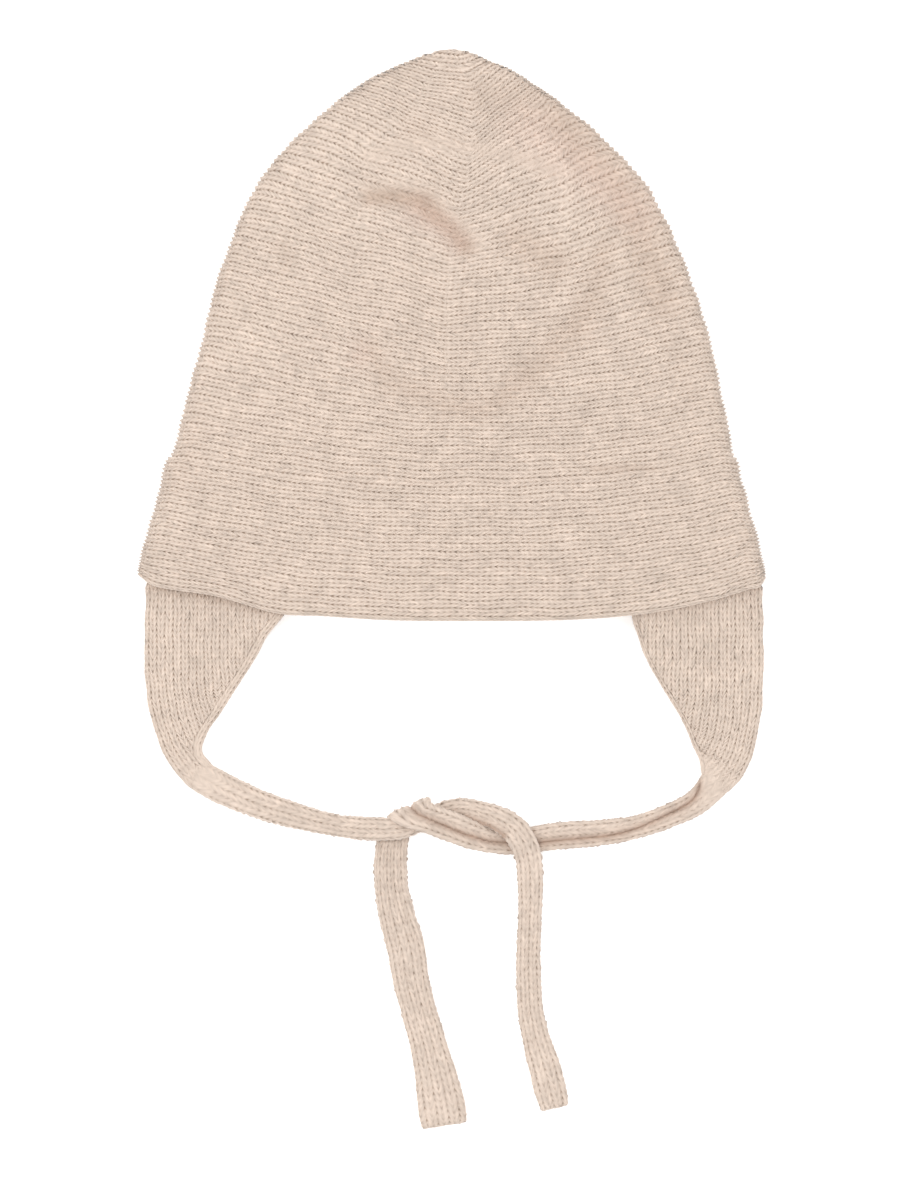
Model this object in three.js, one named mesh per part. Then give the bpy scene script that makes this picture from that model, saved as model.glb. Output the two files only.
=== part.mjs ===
// A knitted baby bonnet with earflaps and two ties, lying flat on a surface with its front up.
// Millimetres. X runs across the bonnet, Y from the ties up to the crown's tip, Z up from the surface.
import * as THREE from "three";

// Driving dimensions
const hemWidth = 196; // across the lying hem, corner to corner
const hemSag = 13.6; // how far the middle of the hem hangs below its corners
const hemCorner = 3.4; // how far each hem corner stands above the hem beside it
const crownHeight = 178.5; // from the lowest point of the hem to the crown's tip
const crownLoft = 24; // thickness of the lying crown where it is fullest
const mouthHeight = 9; // clear height between front and back at the middle of the hem
const knitWall = 1.6; // one layer of the knit
const bandHeight = 37; // the doubled band above the hem corners
const flapWall = 1.5; // each half of a folded earflap
const flapDrop = 66; // from the hem corner down to an earflap's tip
const flapTuck = 9; // how far an earflap reaches up inside the band
const tieWidth = 8; // the curled strip that each tie is
const tieThickness = 3.2; // the same strip, top to bottom
const knotThickness = 2.4; // the strip where the knot squeezes it
const strapSag = 13.6; // from the earflaps' tips down to the knot
const tieEnd = 88; // free end of the right tie, below the knot
const pieceGap = 0.3; // between neighbouring pieces

// Sizes that follow from them
const halfWidth = hemWidth / 2;
const bandWall = 2 * knitWall;
const flapStack = 2 * flapWall + 3 * pieceGap;
const bandFold = 2 * bandWall + flapStack;
const mouthThickness = 2 * bandWall + mouthHeight;
const flapFold = 2 * flapWall + pieceGap;
const knotLayer = knotThickness + pieceGap;
const bandTopY = hemSag + bandHeight;

// Sections of the doubled band, from the hem up.
// up: share of the band's height. left and right: the outline, as shares of half the hem's width.
// sag: how far the row's middle hangs below its ends, as a share of the hem's sag, and bow the power
// of that curve. corner: how much of the hem corner's rise the row has. mouth and loft: what the mouth
// and the crown's loft add to the middle's thickness.
const bandRows = [
  { up: 0, left: 1, right: 1, sag: 1, bow: 2.5, corner: 1, mouth: 1, loft: 0 },
  { up: 0.14, left: 0.997, right: 0.994, sag: 0.96, bow: 2.4, corner: 0.6, mouth: 1, loft: 0.03 },
  { up: 0.475, left: 0.959, right: 0.962, sag: 0.86, bow: 2.4, corner: 0.1, mouth: 0.85, loft: 0.15 },
  { up: 0.81, left: 0.924, right: 0.927, sag: 0.73, bow: 2.3, corner: 0, mouth: 0.72, loft: 0.28 },
  { up: 1, left: 0.911, right: 0.91, sag: 0.66, bow: 2.2, corner: 0, mouth: 0.65, loft: 0.36 },
];

// Sections of the crown, from the band up to the tip, with the same columns.
// up: share of the crown's height above the band. open: the room inside the side folds, as a share of
// what the tucked earflaps need.
const crownRows = [
  { up: 0, left: 0.897, right: 0.897, sag: 0.66, bow: 2.2, corner: 0, mouth: 0.65, loft: 0.33, open: 1.6 },
  { up: 0.04, left: 0.882, right: 0.892, sag: 0.66, bow: 2.1, corner: 0, mouth: 0.6, loft: 0.38, open: 1.5 },
  { up: 0.136, left: 0.847, right: 0.866, sag: 0.74, bow: 2, corner: 0, mouth: 0.45, loft: 0.53, open: 1.2 },
  { up: 0.282, left: 0.8, right: 0.827, sag: 0.96, bow: 1.9, corner: 0, mouth: 0.25, loft: 0.78, open: 1 },
  { up: 0.428, left: 0.75, right: 0.769, sag: 1.3, bow: 1.8, corner: 0, mouth: 0.1, loft: 0.93, open: 0.9 },
  { up: 0.574, left: 0.684, right: 0.69, sag: 1.75, bow: 1.7, corner: 0, mouth: 0, loft: 1, open: 0.8 },
  { up: 0.672, left: 0.618, right: 0.618, sag: 2, bow: 1.6, corner: 0, mouth: 0, loft: 0.94, open: 0.75 },
  { up: 0.769, left: 0.517, right: 0.501, sag: 2.1, bow: 1.6, corner: 0, mouth: 0, loft: 0.82, open: 0.7 },
  { up: 0.854, left: 0.394, right: 0.373, sag: 1.95, bow: 1.6, corner: 0, mouth: 0, loft: 0.66, open: 0.6 },
  { up: 0.915, left: 0.284, right: 0.257, sag: 1.6, bow: 1.6, corner: 0, mouth: 0, loft: 0.5, open: 0.5 },
  { up: 0.964, left: 0.152, right: 0.141, sag: 1, bow: 1.6, corner: 0, mouth: 0, loft: 0.34, open: 0.35 },
  { up: 0.988, left: 0.076, right: 0.08, sag: 0.45, bow: 1.6, corner: 0, mouth: 0, loft: 0.22, open: 0.2 },
  { up: 1, left: -0.011, right: 0.011, sag: 0, bow: 1.6, corner: 0, mouth: 0, loft: 0.18, open: 0.1 },
];

// Dents of the lying crown, each a straight stretch of a valley, or a ridge where the depth is negative.
// Places across as shares of half the hem's width, places up and widths as shares of the crown's height,
// depths as shares of its loft.
const dentRows = [
  { x1: -0.26, y1: 0.74, x2: -0.07, y2: 0.71, width: 0.03, depth: 0.1 },
  { x1: -0.07, y1: 0.71, x2: 0.06, y2: 0.64, width: 0.03, depth: 0.1 },
  { x1: 0.2, y1: 0.67, x2: 0.35, y2: 0.62, width: 0.035, depth: 0.07 },
  { x1: 0.47, y1: 0.62, x2: 0.4, y2: 0.5, width: 0.035, depth: 0.06 },
  { x1: 0.4, y1: 0.5, x2: 0.2, y2: 0.4, width: 0.035, depth: 0.07 },
  { x1: 0.2, y1: 0.4, x2: -0.22, y2: 0.41, width: 0.035, depth: 0.05 },
  { x1: 0.3, y1: 0.87, x2: 0.53, y2: 0.75, width: 0.03, depth: 0.06 },
  { x1: 0.53, y1: 0.75, x2: 0.66, y2: 0.56, width: 0.03, depth: 0.05 },
  { x1: -0.22, y1: 0.81, x2: 0.3, y2: 0.8, width: 0.035, depth: -0.03 },
];

// Sections of the two earflaps below the hem.
// outer and inner: the folded edge and the free edge, as shares of half the hem's width. outerDrop and
// innerDrop: how far each lies below the hem, as shares of the flap's drop. lift: how much of the step
// out of the band is left. open: how much of the mouth's rise the upper half still follows.
const leftFlapRows = [
  { outer: 0.973, inner: 0.58, outerDrop: 0.06, innerDrop: 0.11, lift: 0.5, open: 0.6 },
  { outer: 0.976, inner: 0.627, outerDrop: 0.21, innerDrop: 0.24, lift: 0.12, open: 0.22 },
  { outer: 0.976, inner: 0.681, outerDrop: 0.375, innerDrop: 0.38, lift: 0, open: 0.05 },
  { outer: 0.968, inner: 0.741, outerDrop: 0.54, innerDrop: 0.53, lift: 0, open: 0 },
  { outer: 0.943, inner: 0.784, outerDrop: 0.685, innerDrop: 0.65, lift: 0, open: 0 },
  { outer: 0.905, inner: 0.794, outerDrop: 0.795, innerDrop: 0.717, lift: 0, open: 0 },
  { outer: 0.832, inner: 0.757, outerDrop: 0.91, innerDrop: 0.771, lift: 0, open: 0 },
];
const rightFlapRows = [
  { outer: 0.99, inner: 0.595, outerDrop: 0.05, innerDrop: 0.14, lift: 0.5, open: 0.6 },
  { outer: 0.992, inner: 0.627, outerDrop: 0.21, innerDrop: 0.26, lift: 0.12, open: 0.22 },
  { outer: 0.992, inner: 0.671, outerDrop: 0.385, innerDrop: 0.385, lift: 0, open: 0.05 },
  { outer: 0.987, inner: 0.719, outerDrop: 0.575, innerDrop: 0.507, lift: 0, open: 0 },
  { outer: 0.967, inner: 0.757, outerDrop: 0.75, innerDrop: 0.64, lift: 0, open: 0 },
  { outer: 0.927, inner: 0.788, outerDrop: 0.88, innerDrop: 0.753, lift: 0, open: 0 },
  { outer: 0.87, inner: 0.791, outerDrop: 0.95, innerDrop: 0.82, lift: 0, open: 0 },
];
const flapInnerAtHem = { left: 0.54, right: 0.57 };
const flapInnerTucked = { left: 0.57, right: 0.6 };

// Stations of the ties. Widths are shares of the tie's width.
// From an earflap's tip to the knot: along and drop are shares of the way across and down to the knot.
const leftStrapRows = [
  { along: 0, drop: 0, width: 1.28 },
  { along: 0.073, drop: 0.2, width: 1.22 },
  { along: 0.152, drop: 0.39, width: 1.1 },
  { along: 0.239, drop: 0.585, width: 1.05 },
  { along: 0.329, drop: 0.745, width: 0.98 },
  { along: 0.428, drop: 0.89, width: 0.87 },
  { along: 0.527, drop: 1.01, width: 0.79 },
  { along: 0.59, drop: 1.06, width: 0.8 },
];
const rightStrapRows = [
  { along: 0, drop: 0, width: 1.26 },
  { along: 0.056, drop: 0.36, width: 1.02 },
  { along: 0.129, drop: 0.655, width: 0.9 },
  { along: 0.21, drop: 0.877, width: 0.83 },
  { along: 0.287, drop: 1.05, width: 0.83 },
  { along: 0.383, drop: 1.17, width: 0.88 },
  { along: 0.48, drop: 1.22, width: 0.95 },
  { along: 0.576, drop: 1.26, width: 1 },
];
// In the knot: across and up are places from its middle, as shares of the tie's width. layer counts the
// strips below. turn, where given, is the direction of the strip's width in degrees.
const leftKnotRows = [
  { across: -3.4, up: -0.155, layer: 0.4, width: 0.84 },
  { across: -2.85, up: -0.155, layer: 1, width: 0.84 },
  { across: -2.2, up: -0.12, layer: 1.02, width: 0.8 },
  { across: -1.67, up: 0, layer: 1, width: 0.7 },
  { across: -1.09, up: 0.23, layer: 0.5, width: 0.62 },
  { across: -0.5, up: 0.52, layer: 0, width: 0.6 },
  { across: 0.19, up: 0.66, layer: 0, width: 0.62 },
  { across: 0.97, up: 0.54, layer: 0.35, width: 0.7 },
  { across: 1.74, up: 0.23, layer: 0.95, width: 0.9 },
  { across: 2.36, up: -0.2, layer: 1.1, width: 1 },
  { across: 2.75, up: -0.78, layer: 1.1, width: 0.98 },
  { across: 2.9, up: -1.4, layer: 0.7, width: 0.96 },
];
const rightKnotRows = [
  { across: 3.49, up: -0.5, layer: 0, width: 1, turn: 268 },
  { across: 2.52, up: -0.64, layer: 0, width: 0.96, turn: 268 },
  { across: 1.55, up: -0.62, layer: 0, width: 0.94, turn: 260 },
  { across: 0.66, up: -0.4, layer: 0.45, width: 0.98, turn: 250 },
  { across: -0.19, up: -0.06, layer: 1, width: 1, turn: 245 },
  { across: -0.97, up: 0.27, layer: 1.55, width: 1, turn: 238 },
  { across: -1.5, up: 0.45, layer: 2.02, width: 1.15, turn: 226 },
  { across: -1.78, up: 0.62, layer: 1.9, width: 1.35, turn: 214 },
  { across: -1.95, up: 0.76, layer: 1, width: 1.5, turn: 207 },
  { across: -1.93, up: 0.55, layer: 0.1, width: 1.4, turn: 203 },
  { across: -2.08, up: 0.2, layer: 0, width: 1.2, turn: 193 },
  { across: -2.33, up: -0.3, layer: 0, width: 1.12, turn: 184 },
  { across: -2.47, up: -0.8, layer: 0, width: 1.18, turn: 180 },
];
// Free ends below the knot: across and down are shares of the tie's end, from the last place above.
const leftEndRows = [
  { across: 0.004, down: 0.078, width: 0.95 },
  { across: 0.002, down: 0.194, width: 0.85 },
  { across: -0.004, down: 0.318, width: 0.88 },
  { across: -0.002, down: 0.442, width: 0.9 },
  { across: 0.004, down: 0.537, width: 0.93 },
  { across: 0.021, down: 0.622, width: 1 },
  { across: 0.053, down: 0.728, width: 1.2 },
  { across: 0.076, down: 0.82, width: 1.22 },
  { across: 0.09, down: 0.875, width: 1.1 },
  { across: 0.094, down: 0.893, width: 0.85 },
];
const rightEndRows = [
  { across: -0.005, down: 0.088, width: 1.2 },
  { across: 0, down: 0.177, width: 1.22 },
  { across: 0.025, down: 0.254, width: 1.38 },
  { across: 0.05, down: 0.353, width: 1.45 },
  { across: 0.07, down: 0.488, width: 1.36 },
  { across: 0.106, down: 0.618, width: 1.33 },
  { across: 0.141, down: 0.746, width: 1.43 },
  { across: 0.166, down: 0.859, width: 1.7 },
  { across: 0.184, down: 0.968, width: 1.85 },
  { across: 0.19, down: 1.01, width: 1.6 },
];
const knotAcross = 0.011; // the knot's middle, as a share of half the hem's width
const frontBow = 1.1; // how the front sheet rises from its side folds: 1 is a parabola
const tipWall = 1.5; // the wall at the crown's tip, as a share of the knit's wall

// How finely the surfaces are cut
const frontColumns = 28;
const backColumns = 8;
const foldSteps = 4;
const bandSteps = 1;
const crownSteps = 2;
const flapColumns = 6;
const tieSteps = 2;
const tieEdge = 0.4; // the height of a tie's edge, as a share of its thickness

// Colours of the yarn
const yarn = { crown: 0xdcc9ba, band: 0xdbc8b8, flap: 0xd9c5b5, tie: 0xdac7b7 };

function lerp(from, to, share) {
  return from + (to - from) * share;
}

// A smooth curve through the rows of one column; place counts rows and may lie between two.
function smoothColumn(rows, column, place) {
  const last = rows.length - 1;
  const row = Math.min(Math.floor(place), last - 1);
  const t = place - row;
  const value = (i) => rows[Math.min(Math.max(i, 0), last)][column];
  const [a, b, c, d] = [row - 1, row, row + 1, row + 2].map(value);
  const bend = (2 * a - 5 * b + 4 * c - d) * t + (3 * b - a - 3 * c + d) * t * t;
  return b + 0.5 * t * (c - a + bend);
}

// All columns of a table at one place.
function smoothRow(rows, place) {
  const columns = Object.keys(rows[0]);
  return Object.fromEntries(columns.map((column) => [column, smoothColumn(rows, column, place)]));
}

// A closed solid between two sheets of points. Each row holds an outer and an inner line of points; the
// rows go round when closedAround is set, and end in a pair of tip points when tips are given.
function sheetSolid(rows, closedAround = false, tips = null) {
  const count = rows[0].outer.length;
  const points = rows.flatMap((row) => [...row.outer, ...row.inner]);
  const at = (row, side, i) => (row * 2 + side) * count + (i % count);
  const faces = [];
  const quad = (a, b, c, d) => faces.push([a, b, c], [a, c, d]);
  const spans = closedAround ? count : count - 1;
  const last = rows.length - 1;
  for (let row = 0; row < last; row += 1) {
    for (let i = 0; i < spans; i += 1) {
      quad(at(row, 0, i), at(row, 0, i + 1), at(row + 1, 0, i + 1), at(row + 1, 0, i));
      quad(at(row, 1, i), at(row + 1, 1, i), at(row + 1, 1, i + 1), at(row, 1, i + 1));
    }
    if (!closedAround) {
      quad(at(row, 0, 0), at(row + 1, 0, 0), at(row + 1, 1, 0), at(row, 1, 0));
      quad(at(row, 0, spans), at(row, 1, spans), at(row + 1, 1, spans), at(row + 1, 0, spans));
    }
  }
  for (let i = 0; i < spans; i += 1) {
    quad(at(0, 0, i), at(0, 1, i), at(0, 1, i + 1), at(0, 0, i + 1));
    if (!tips) {
      quad(at(last, 0, i), at(last, 0, i + 1), at(last, 1, i + 1), at(last, 1, i));
    }
  }
  if (tips) {
    const outerTip = points.push(tips.outer) - 1;
    const innerTip = points.push(tips.inner) - 1;
    for (let i = 0; i < count; i += 1) {
      faces.push([at(last, 0, i), at(last, 0, i + 1), outerTip]);
      faces.push([at(last, 1, i + 1), at(last, 1, i), innerTip]);
    }
  }
  return outward(points, faces);
}

// The geometry of a closed set of faces, turned so that they point out.
function outward(points, faces) {
  const volume = faces.reduce((sum, [a, b, c]) => {
    const corner = new THREE.Vector3().crossVectors(points[b], points[c]);
    return sum + points[a].dot(corner);
  }, 0);
  const turned = volume < 0 ? faces.map(([a, b, c]) => [a, c, b]) : faces;
  const geometry = new THREE.BufferGeometry();
  geometry.setFromPoints(points);
  geometry.setIndex(turned.flat());
  geometry.computeVertexNormals();
  return geometry;
}

function knitMesh(name, colour, geometry) {
  const material = new THREE.MeshStandardMaterial({ color: colour, roughness: 0.95, metalness: 0 });
  const mesh = new THREE.Mesh(geometry, material);
  mesh.name = name;
  return mesh;
}

// The band and the crown are flat tubes: a front sheet over a back sheet, joined by round side folds.
// Each one is told by its table, by the height of its first row and by its wall.
const band = {
  rows: bandRows,
  baseY: hemSag,
  height: bandHeight,
  wall: bandWall,
  fold: () => bandFold,
};
const crown = {
  rows: crownRows,
  baseY: bandTopY + pieceGap,
  height: crownHeight - bandTopY - pieceGap,
  wall: knitWall,
  fold: (row) => 2 * knitWall + row.open * flapStack,
};

// A point of the tube's outline seen from above, moved inwards by inset.
function outlinePoint(tube, place, side, inset) {
  const spot = (t) => {
    const row = smoothRow(tube.rows, t);
    const x = side < 0 ? -row.left * halfWidth : row.right * halfWidth;
    return new THREE.Vector2(x, tube.baseY + row.up * tube.height);
  };
  const step = 0.05;
  const below = spot(Math.max(place - step, 0));
  const above = spot(Math.min(place + step, tube.rows.length - 1));
  const along = above.sub(below).normalize();
  return spot(place).add(new THREE.Vector2(side * -along.y, side * along.x).multiplyScalar(inset));
}

function dentDepth(x, y) {
  return dentRows.reduce((sum, dent) => {
    const from = new THREE.Vector2(dent.x1 * halfWidth, dent.y1 * crownHeight);
    const to = new THREE.Vector2(dent.x2 * halfWidth, dent.y2 * crownHeight);
    const way = to.clone().sub(from);
    const here = new THREE.Vector2(x, y).sub(from);
    const share = THREE.MathUtils.clamp(here.dot(way) / way.lengthSq(), 0, 1);
    const away = here.sub(way.multiplyScalar(share)).length() / (dent.width * crownHeight);
    return sum + dent.depth * crownLoft * Math.exp(-away * away);
  }, 0);
}

// How far the front sheet rises above the side folds at a share across, from -1 to 1.
function frontRise(tube, row, share) {
  const middle = row.mouth * mouthThickness + row.loft * crownLoft;
  return Math.max(middle - tube.fold(row), 0) * (1 - share * share) ** frontBow;
}

// One row of the tube, all the way round, at a depth of inset inside its outer face.
function tubeLoop(tube, place, inset) {
  const row = smoothRow(tube.rows, place);
  const radius = tube.fold(row) / 2;
  const left = outlinePoint(tube, place, -1, inset);
  const right = outlinePoint(tube, place, 1, inset);
  left.x += radius - inset;
  right.x -= radius - inset;
  const corner = row.corner * hemCorner;
  const plan = (share) => {
    const across = (share + 1) / 2;
    const bowed = corner + (row.sag * hemSag - corner) * (1 - Math.abs(share) ** row.bow);
    return [lerp(left.x, right.x, across), lerp(left.y, right.y, across) - bowed];
  };
  const points = [];
  for (let i = 0; i <= frontColumns; i += 1) {
    const share = (2 * i) / frontColumns - 1;
    const [x, y] = plan(share);
    const dent = share * share < 1 ? dentDepth(x, y) * (1 - share ** 8) : 0;
    const rise = frontRise(tube, row, share) - (tube === crown ? dent : 0);
    points.push(new THREE.Vector3(x, y, 2 * radius + rise - inset));
  }
  const foldPoints = (centre, side) => {
    for (let i = 1; i < foldSteps; i += 1) {
      const angle = (Math.PI * i) / foldSteps;
      const out = Math.sin(angle) * (radius - inset) * side;
      const up = Math.cos(angle) * (radius - inset) * side;
      const y = centre.y - corner * (1 - Math.sin(angle));
      points.push(new THREE.Vector3(centre.x + out, y, radius + up));
    }
  };
  foldPoints(right, 1);
  for (let i = 0; i <= backColumns; i += 1) {
    const [x, y] = plan(1 - (2 * i) / backColumns);
    points.push(new THREE.Vector3(x, y, inset));
  }
  foldPoints(left, -1);
  return points;
}

function tubeRows(tube, steps, spans) {
  const rows = [];
  for (let i = 0; i <= spans * steps; i += 1) {
    const place = i / steps;
    rows.push({ outer: tubeLoop(tube, place, 0), inner: tubeLoop(tube, place, tube.wall) });
  }
  return rows;
}

function makeBand() {
  return knitMesh("brim_band", yarn.band, sheetSolid(tubeRows(band, bandSteps, bandRows.length - 1), true));
}

function makeCrown() {
  const rows = tubeRows(crown, crownSteps, crownRows.length - 2);
  const tip = outlinePoint(crown, crownRows.length - 1, 1, 0);
  const height = crown.fold(crownRows[crownRows.length - 1]) / 2;
  const tips = {
    outer: new THREE.Vector3(tip.x, tip.y, height),
    inner: new THREE.Vector3(tip.x, tip.y - tipWall * knitWall, height),
  };
  return knitMesh("crown", yarn.crown, sheetSolid(rows, true, tips));
}

// The hem's height at a place across, between the side folds.
function hemY(x) {
  const share = Math.min(Math.abs(x) / (halfWidth - bandFold / 2), 1);
  return (hemSag - hemCorner) * share ** bandRows[0].bow;
}

// The place in the band's table that lies at a height above the hem corners.
function bandPlace(up) {
  const share = up / bandHeight;
  const above = bandRows.findIndex((row) => row.up > share);
  const below = bandRows[above - 1];
  return above - 1 + (share - below.up) / (bandRows[above].up - below.up);
}

// Rows of an earflap from its tucked top to its tip, in plain lengths. side is -1 on the left.
function flapPlan(side, table) {
  const name = side < 0 ? "left" : "right";
  const inBand = bandWall + pieceGap;
  const nested = (up, inner) => {
    const outer = outlinePoint(band, bandPlace(up), side, inBand);
    return { outer: side * outer.x, inner: inner * halfWidth, outerDrop: -up, innerDrop: -up, lift: 1, open: 1 };
  };
  const tucked = nested(flapTuck, flapInnerTucked[name]);
  const halfway = nested(flapTuck / 2, (flapInnerTucked[name] + flapInnerAtHem[name]) / 2);
  const hem = nested(0, flapInnerAtHem[name]);
  const below = table.map((row) => ({
    outer: row.outer * halfWidth,
    inner: row.inner * halfWidth,
    outerDrop: row.outerDrop * flapDrop,
    innerDrop: row.innerDrop * flapDrop,
    lift: row.lift,
    open: row.open,
  }));
  return [tucked, halfway, hem, ...below];
}

// One row across a folded earflap: up over the fold, from the lower half's free edge to the upper one's.
function flapRow(side, row) {
  const outerEnd = new THREE.Vector2(side * row.outer, hemY(row.outer) - row.outerDrop);
  const innerEnd = new THREE.Vector2(side * row.inner, hemY(row.inner) - row.innerDrop);
  const out = outerEnd.clone().sub(innerEnd).normalize();
  const radius = flapFold / 2;
  const foldCentre = outerEnd.clone().addScaledVector(out, -radius);
  const under = row.lift * (bandWall + pieceGap);
  const spot = (share) => {
    const place = foldCentre.clone().lerp(innerEnd, share);
    const chord = lerp(hemY(row.outer), hemY(row.inner), share);
    place.y += (hemY(Math.abs(place.x)) - chord) * row.lift;
    return place;
  };
  const rise = (x) => {
    const share = Math.min(Math.abs(x) / (halfWidth - bandFold / 2), 1);
    return row.open * frontRise(band, bandRows[0], share);
  };
  const line = (inset) => {
    const points = [];
    for (let i = flapColumns; i >= 0; i -= 1) {
      const place = spot(i / flapColumns);
      points.push(new THREE.Vector3(place.x, place.y, under + inset));
    }
    for (let i = 1; i < foldSteps; i += 1) {
      const angle = (Math.PI * i) / foldSteps;
      const place = foldCentre.clone().addScaledVector(out, Math.sin(angle) * (radius - inset));
      points.push(new THREE.Vector3(place.x, place.y, under + radius - Math.cos(angle) * (radius - inset)));
    }
    for (let i = 0; i <= flapColumns; i += 1) {
      const place = spot(i / flapColumns);
      points.push(new THREE.Vector3(place.x, place.y, under + flapFold + rise(place.x) - inset));
    }
    return points;
  };
  return { outer: line(0), inner: line(flapWall) };
}

function makeFlap(name, side, table) {
  const rows = flapPlan(side, table);
  return knitMesh(name, yarn.flap, sheetSolid(rows.map((row) => flapRow(side, row))));
}

// Where a tie grows out of an earflap: the middle of the flap's cut end and the direction across it.
function flapTip(side, table) {
  const row = flapPlan(side, table).at(-1);
  const outer = new THREE.Vector2(side * row.outer, hemY(row.outer) - row.outerDrop);
  const inner = new THREE.Vector2(side * row.inner, hemY(row.inner) - row.innerDrop);
  const across = inner.clone().sub(outer).multiplyScalar(-side);
  const forward = new THREE.Vector2(across.y, -across.x).normalize();
  const turn = THREE.MathUtils.radToDeg(across.angle());
  return { middle: outer.clone().add(inner).multiplyScalar(0.5), forward, turn };
}

// All stations of a tie, in plain lengths: strap, knot and free end.
function tieStations(side, tables, knot) {
  const tip = flapTip(side, tables.flap);
  const start = tip.middle.clone().addScaledVector(tip.forward, pieceGap);
  const strap = tables.strap.map((row) => ({
    x: lerp(start.x, knot.x, row.along),
    y: lerp(start.y, knot.y, row.drop),
    layer: 0,
    width: row.width * tieWidth,
    thickness: tieThickness,
  }));
  strap[0].turn = tip.turn;
  const inKnot = tables.knot.map((row) => ({
    x: knot.x + row.across * tieWidth,
    y: knot.y + row.up * tieWidth,
    layer: row.layer,
    width: row.width * tieWidth,
    thickness: knotThickness,
    turn: row.turn,
  }));
  const exit = inKnot.at(-1);
  const end = tables.end.map((row) => ({
    x: exit.x + row.across * tieEnd,
    y: exit.y - row.down * tieEnd,
    layer: 0,
    width: row.width * tieWidth,
    thickness: tieThickness,
  }));
  return [...strap, ...inKnot, ...end];
}

// The direction of a strip's width at each station, in degrees, where the table doesn't give it.
function fillTurns(stations) {
  let before = 0;
  return stations.map((station, i) => {
    const from = stations[Math.max(i - 1, 0)];
    const to = stations[Math.min(i + 1, stations.length - 1)];
    const heading = THREE.MathUtils.radToDeg(Math.atan2(to.y - from.y, to.x - from.x));
    const square = station.turn ?? heading + 90;
    const halfTurns = i ? Math.round((before - square) / 180) : 0;
    before = station.turn === undefined ? square + 180 * halfTurns : square;
    return { ...station, turn: before };
  });
}

function makeTie(name, side, tables, knot) {
  const stations = fillTurns(tieStations(side, tables, knot));
  const samples = [];
  for (let i = 0; i <= (stations.length - 1) * tieSteps; i += 1) {
    const station = smoothRow(stations, i / tieSteps);
    const z = station.thickness / 2 + Math.max(station.layer, 0) * knotLayer;
    samples.push({ ...station, centre: new THREE.Vector3(station.x, station.y, z) });
  }
  const profile = [-1, -0.72, 0, 0.72, 1];
  const rows = samples.map((sample, i) => {
    const from = samples[Math.max(i - 1, 0)].centre;
    const to = samples[Math.min(i + 1, samples.length - 1)].centre;
    const angle = THREE.MathUtils.degToRad(sample.turn);
    const across = new THREE.Vector3(Math.cos(angle), Math.sin(angle), 0);
    const up = to.clone().sub(from).cross(across).normalize();
    const line = (face) =>
      profile.map((share) => {
        const bulge = tieEdge + (1 - tieEdge) * Math.sqrt(1 - share * share);
        return sample.centre
          .clone()
          .addScaledVector(across, (share * sample.width) / 2)
          .addScaledVector(up, (face * bulge * sample.thickness) / 2);
      });
    return { outer: line(1), inner: line(-1) };
  });
  return knitMesh(name, yarn.tie, sheetSolid(rows));
}

function makeBonnet() {
  const bonnet = new THREE.Group();
  bonnet.name = "baby_bonnet";
  const tips = [flapTip(-1, leftFlapRows).middle, flapTip(1, rightFlapRows).middle];
  const knot = new THREE.Vector2(knotAcross * halfWidth, (tips[0].y + tips[1].y) / 2 - strapSag);
  const leftTables = { flap: leftFlapRows, strap: leftStrapRows, knot: leftKnotRows, end: leftEndRows };
  const rightTables = { flap: rightFlapRows, strap: rightStrapRows, knot: rightKnotRows, end: rightEndRows };
  bonnet.add(makeCrown(), makeBand());
  bonnet.add(makeFlap("earflap_left", -1, leftFlapRows), makeFlap("earflap_right", 1, rightFlapRows));
  bonnet.add(makeTie("tie_left", -1, leftTables, knot), makeTie("tie_right", 1, rightTables, knot));
  // The bonnet stands on the surface with the origin below the middle of its outline.
  const box = new THREE.Box3().setFromObject(bonnet);
  const middle = box.getCenter(new THREE.Vector3());
  bonnet.position.set(-middle.x, -middle.y, -box.min.z);
  return bonnet;
}

const bonnet = makeBonnet();
export default bonnet;
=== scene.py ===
"""A fine-knit baby bonnet, lying flat and seen from straight above.

Each piece is a closed skin of real stitches: columns of slanted legs with dips between them, laid over
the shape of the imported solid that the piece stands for. Lengths are in millimetres until a mesh is made.
"""
import math

import bpy
import numpy as np
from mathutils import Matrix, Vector


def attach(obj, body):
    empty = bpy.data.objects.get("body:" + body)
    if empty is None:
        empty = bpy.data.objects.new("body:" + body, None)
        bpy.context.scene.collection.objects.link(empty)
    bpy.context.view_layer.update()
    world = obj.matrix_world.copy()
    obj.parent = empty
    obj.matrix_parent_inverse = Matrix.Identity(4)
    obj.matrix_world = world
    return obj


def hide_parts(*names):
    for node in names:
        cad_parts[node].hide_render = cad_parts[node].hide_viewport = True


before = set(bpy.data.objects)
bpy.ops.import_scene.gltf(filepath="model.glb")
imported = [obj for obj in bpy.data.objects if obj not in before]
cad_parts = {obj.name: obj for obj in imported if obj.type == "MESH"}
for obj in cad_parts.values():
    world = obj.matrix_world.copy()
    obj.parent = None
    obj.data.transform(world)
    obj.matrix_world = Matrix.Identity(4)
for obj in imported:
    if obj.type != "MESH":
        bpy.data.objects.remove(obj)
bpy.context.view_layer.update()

MM = 0.001
rng = np.random.default_rng(7)

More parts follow.
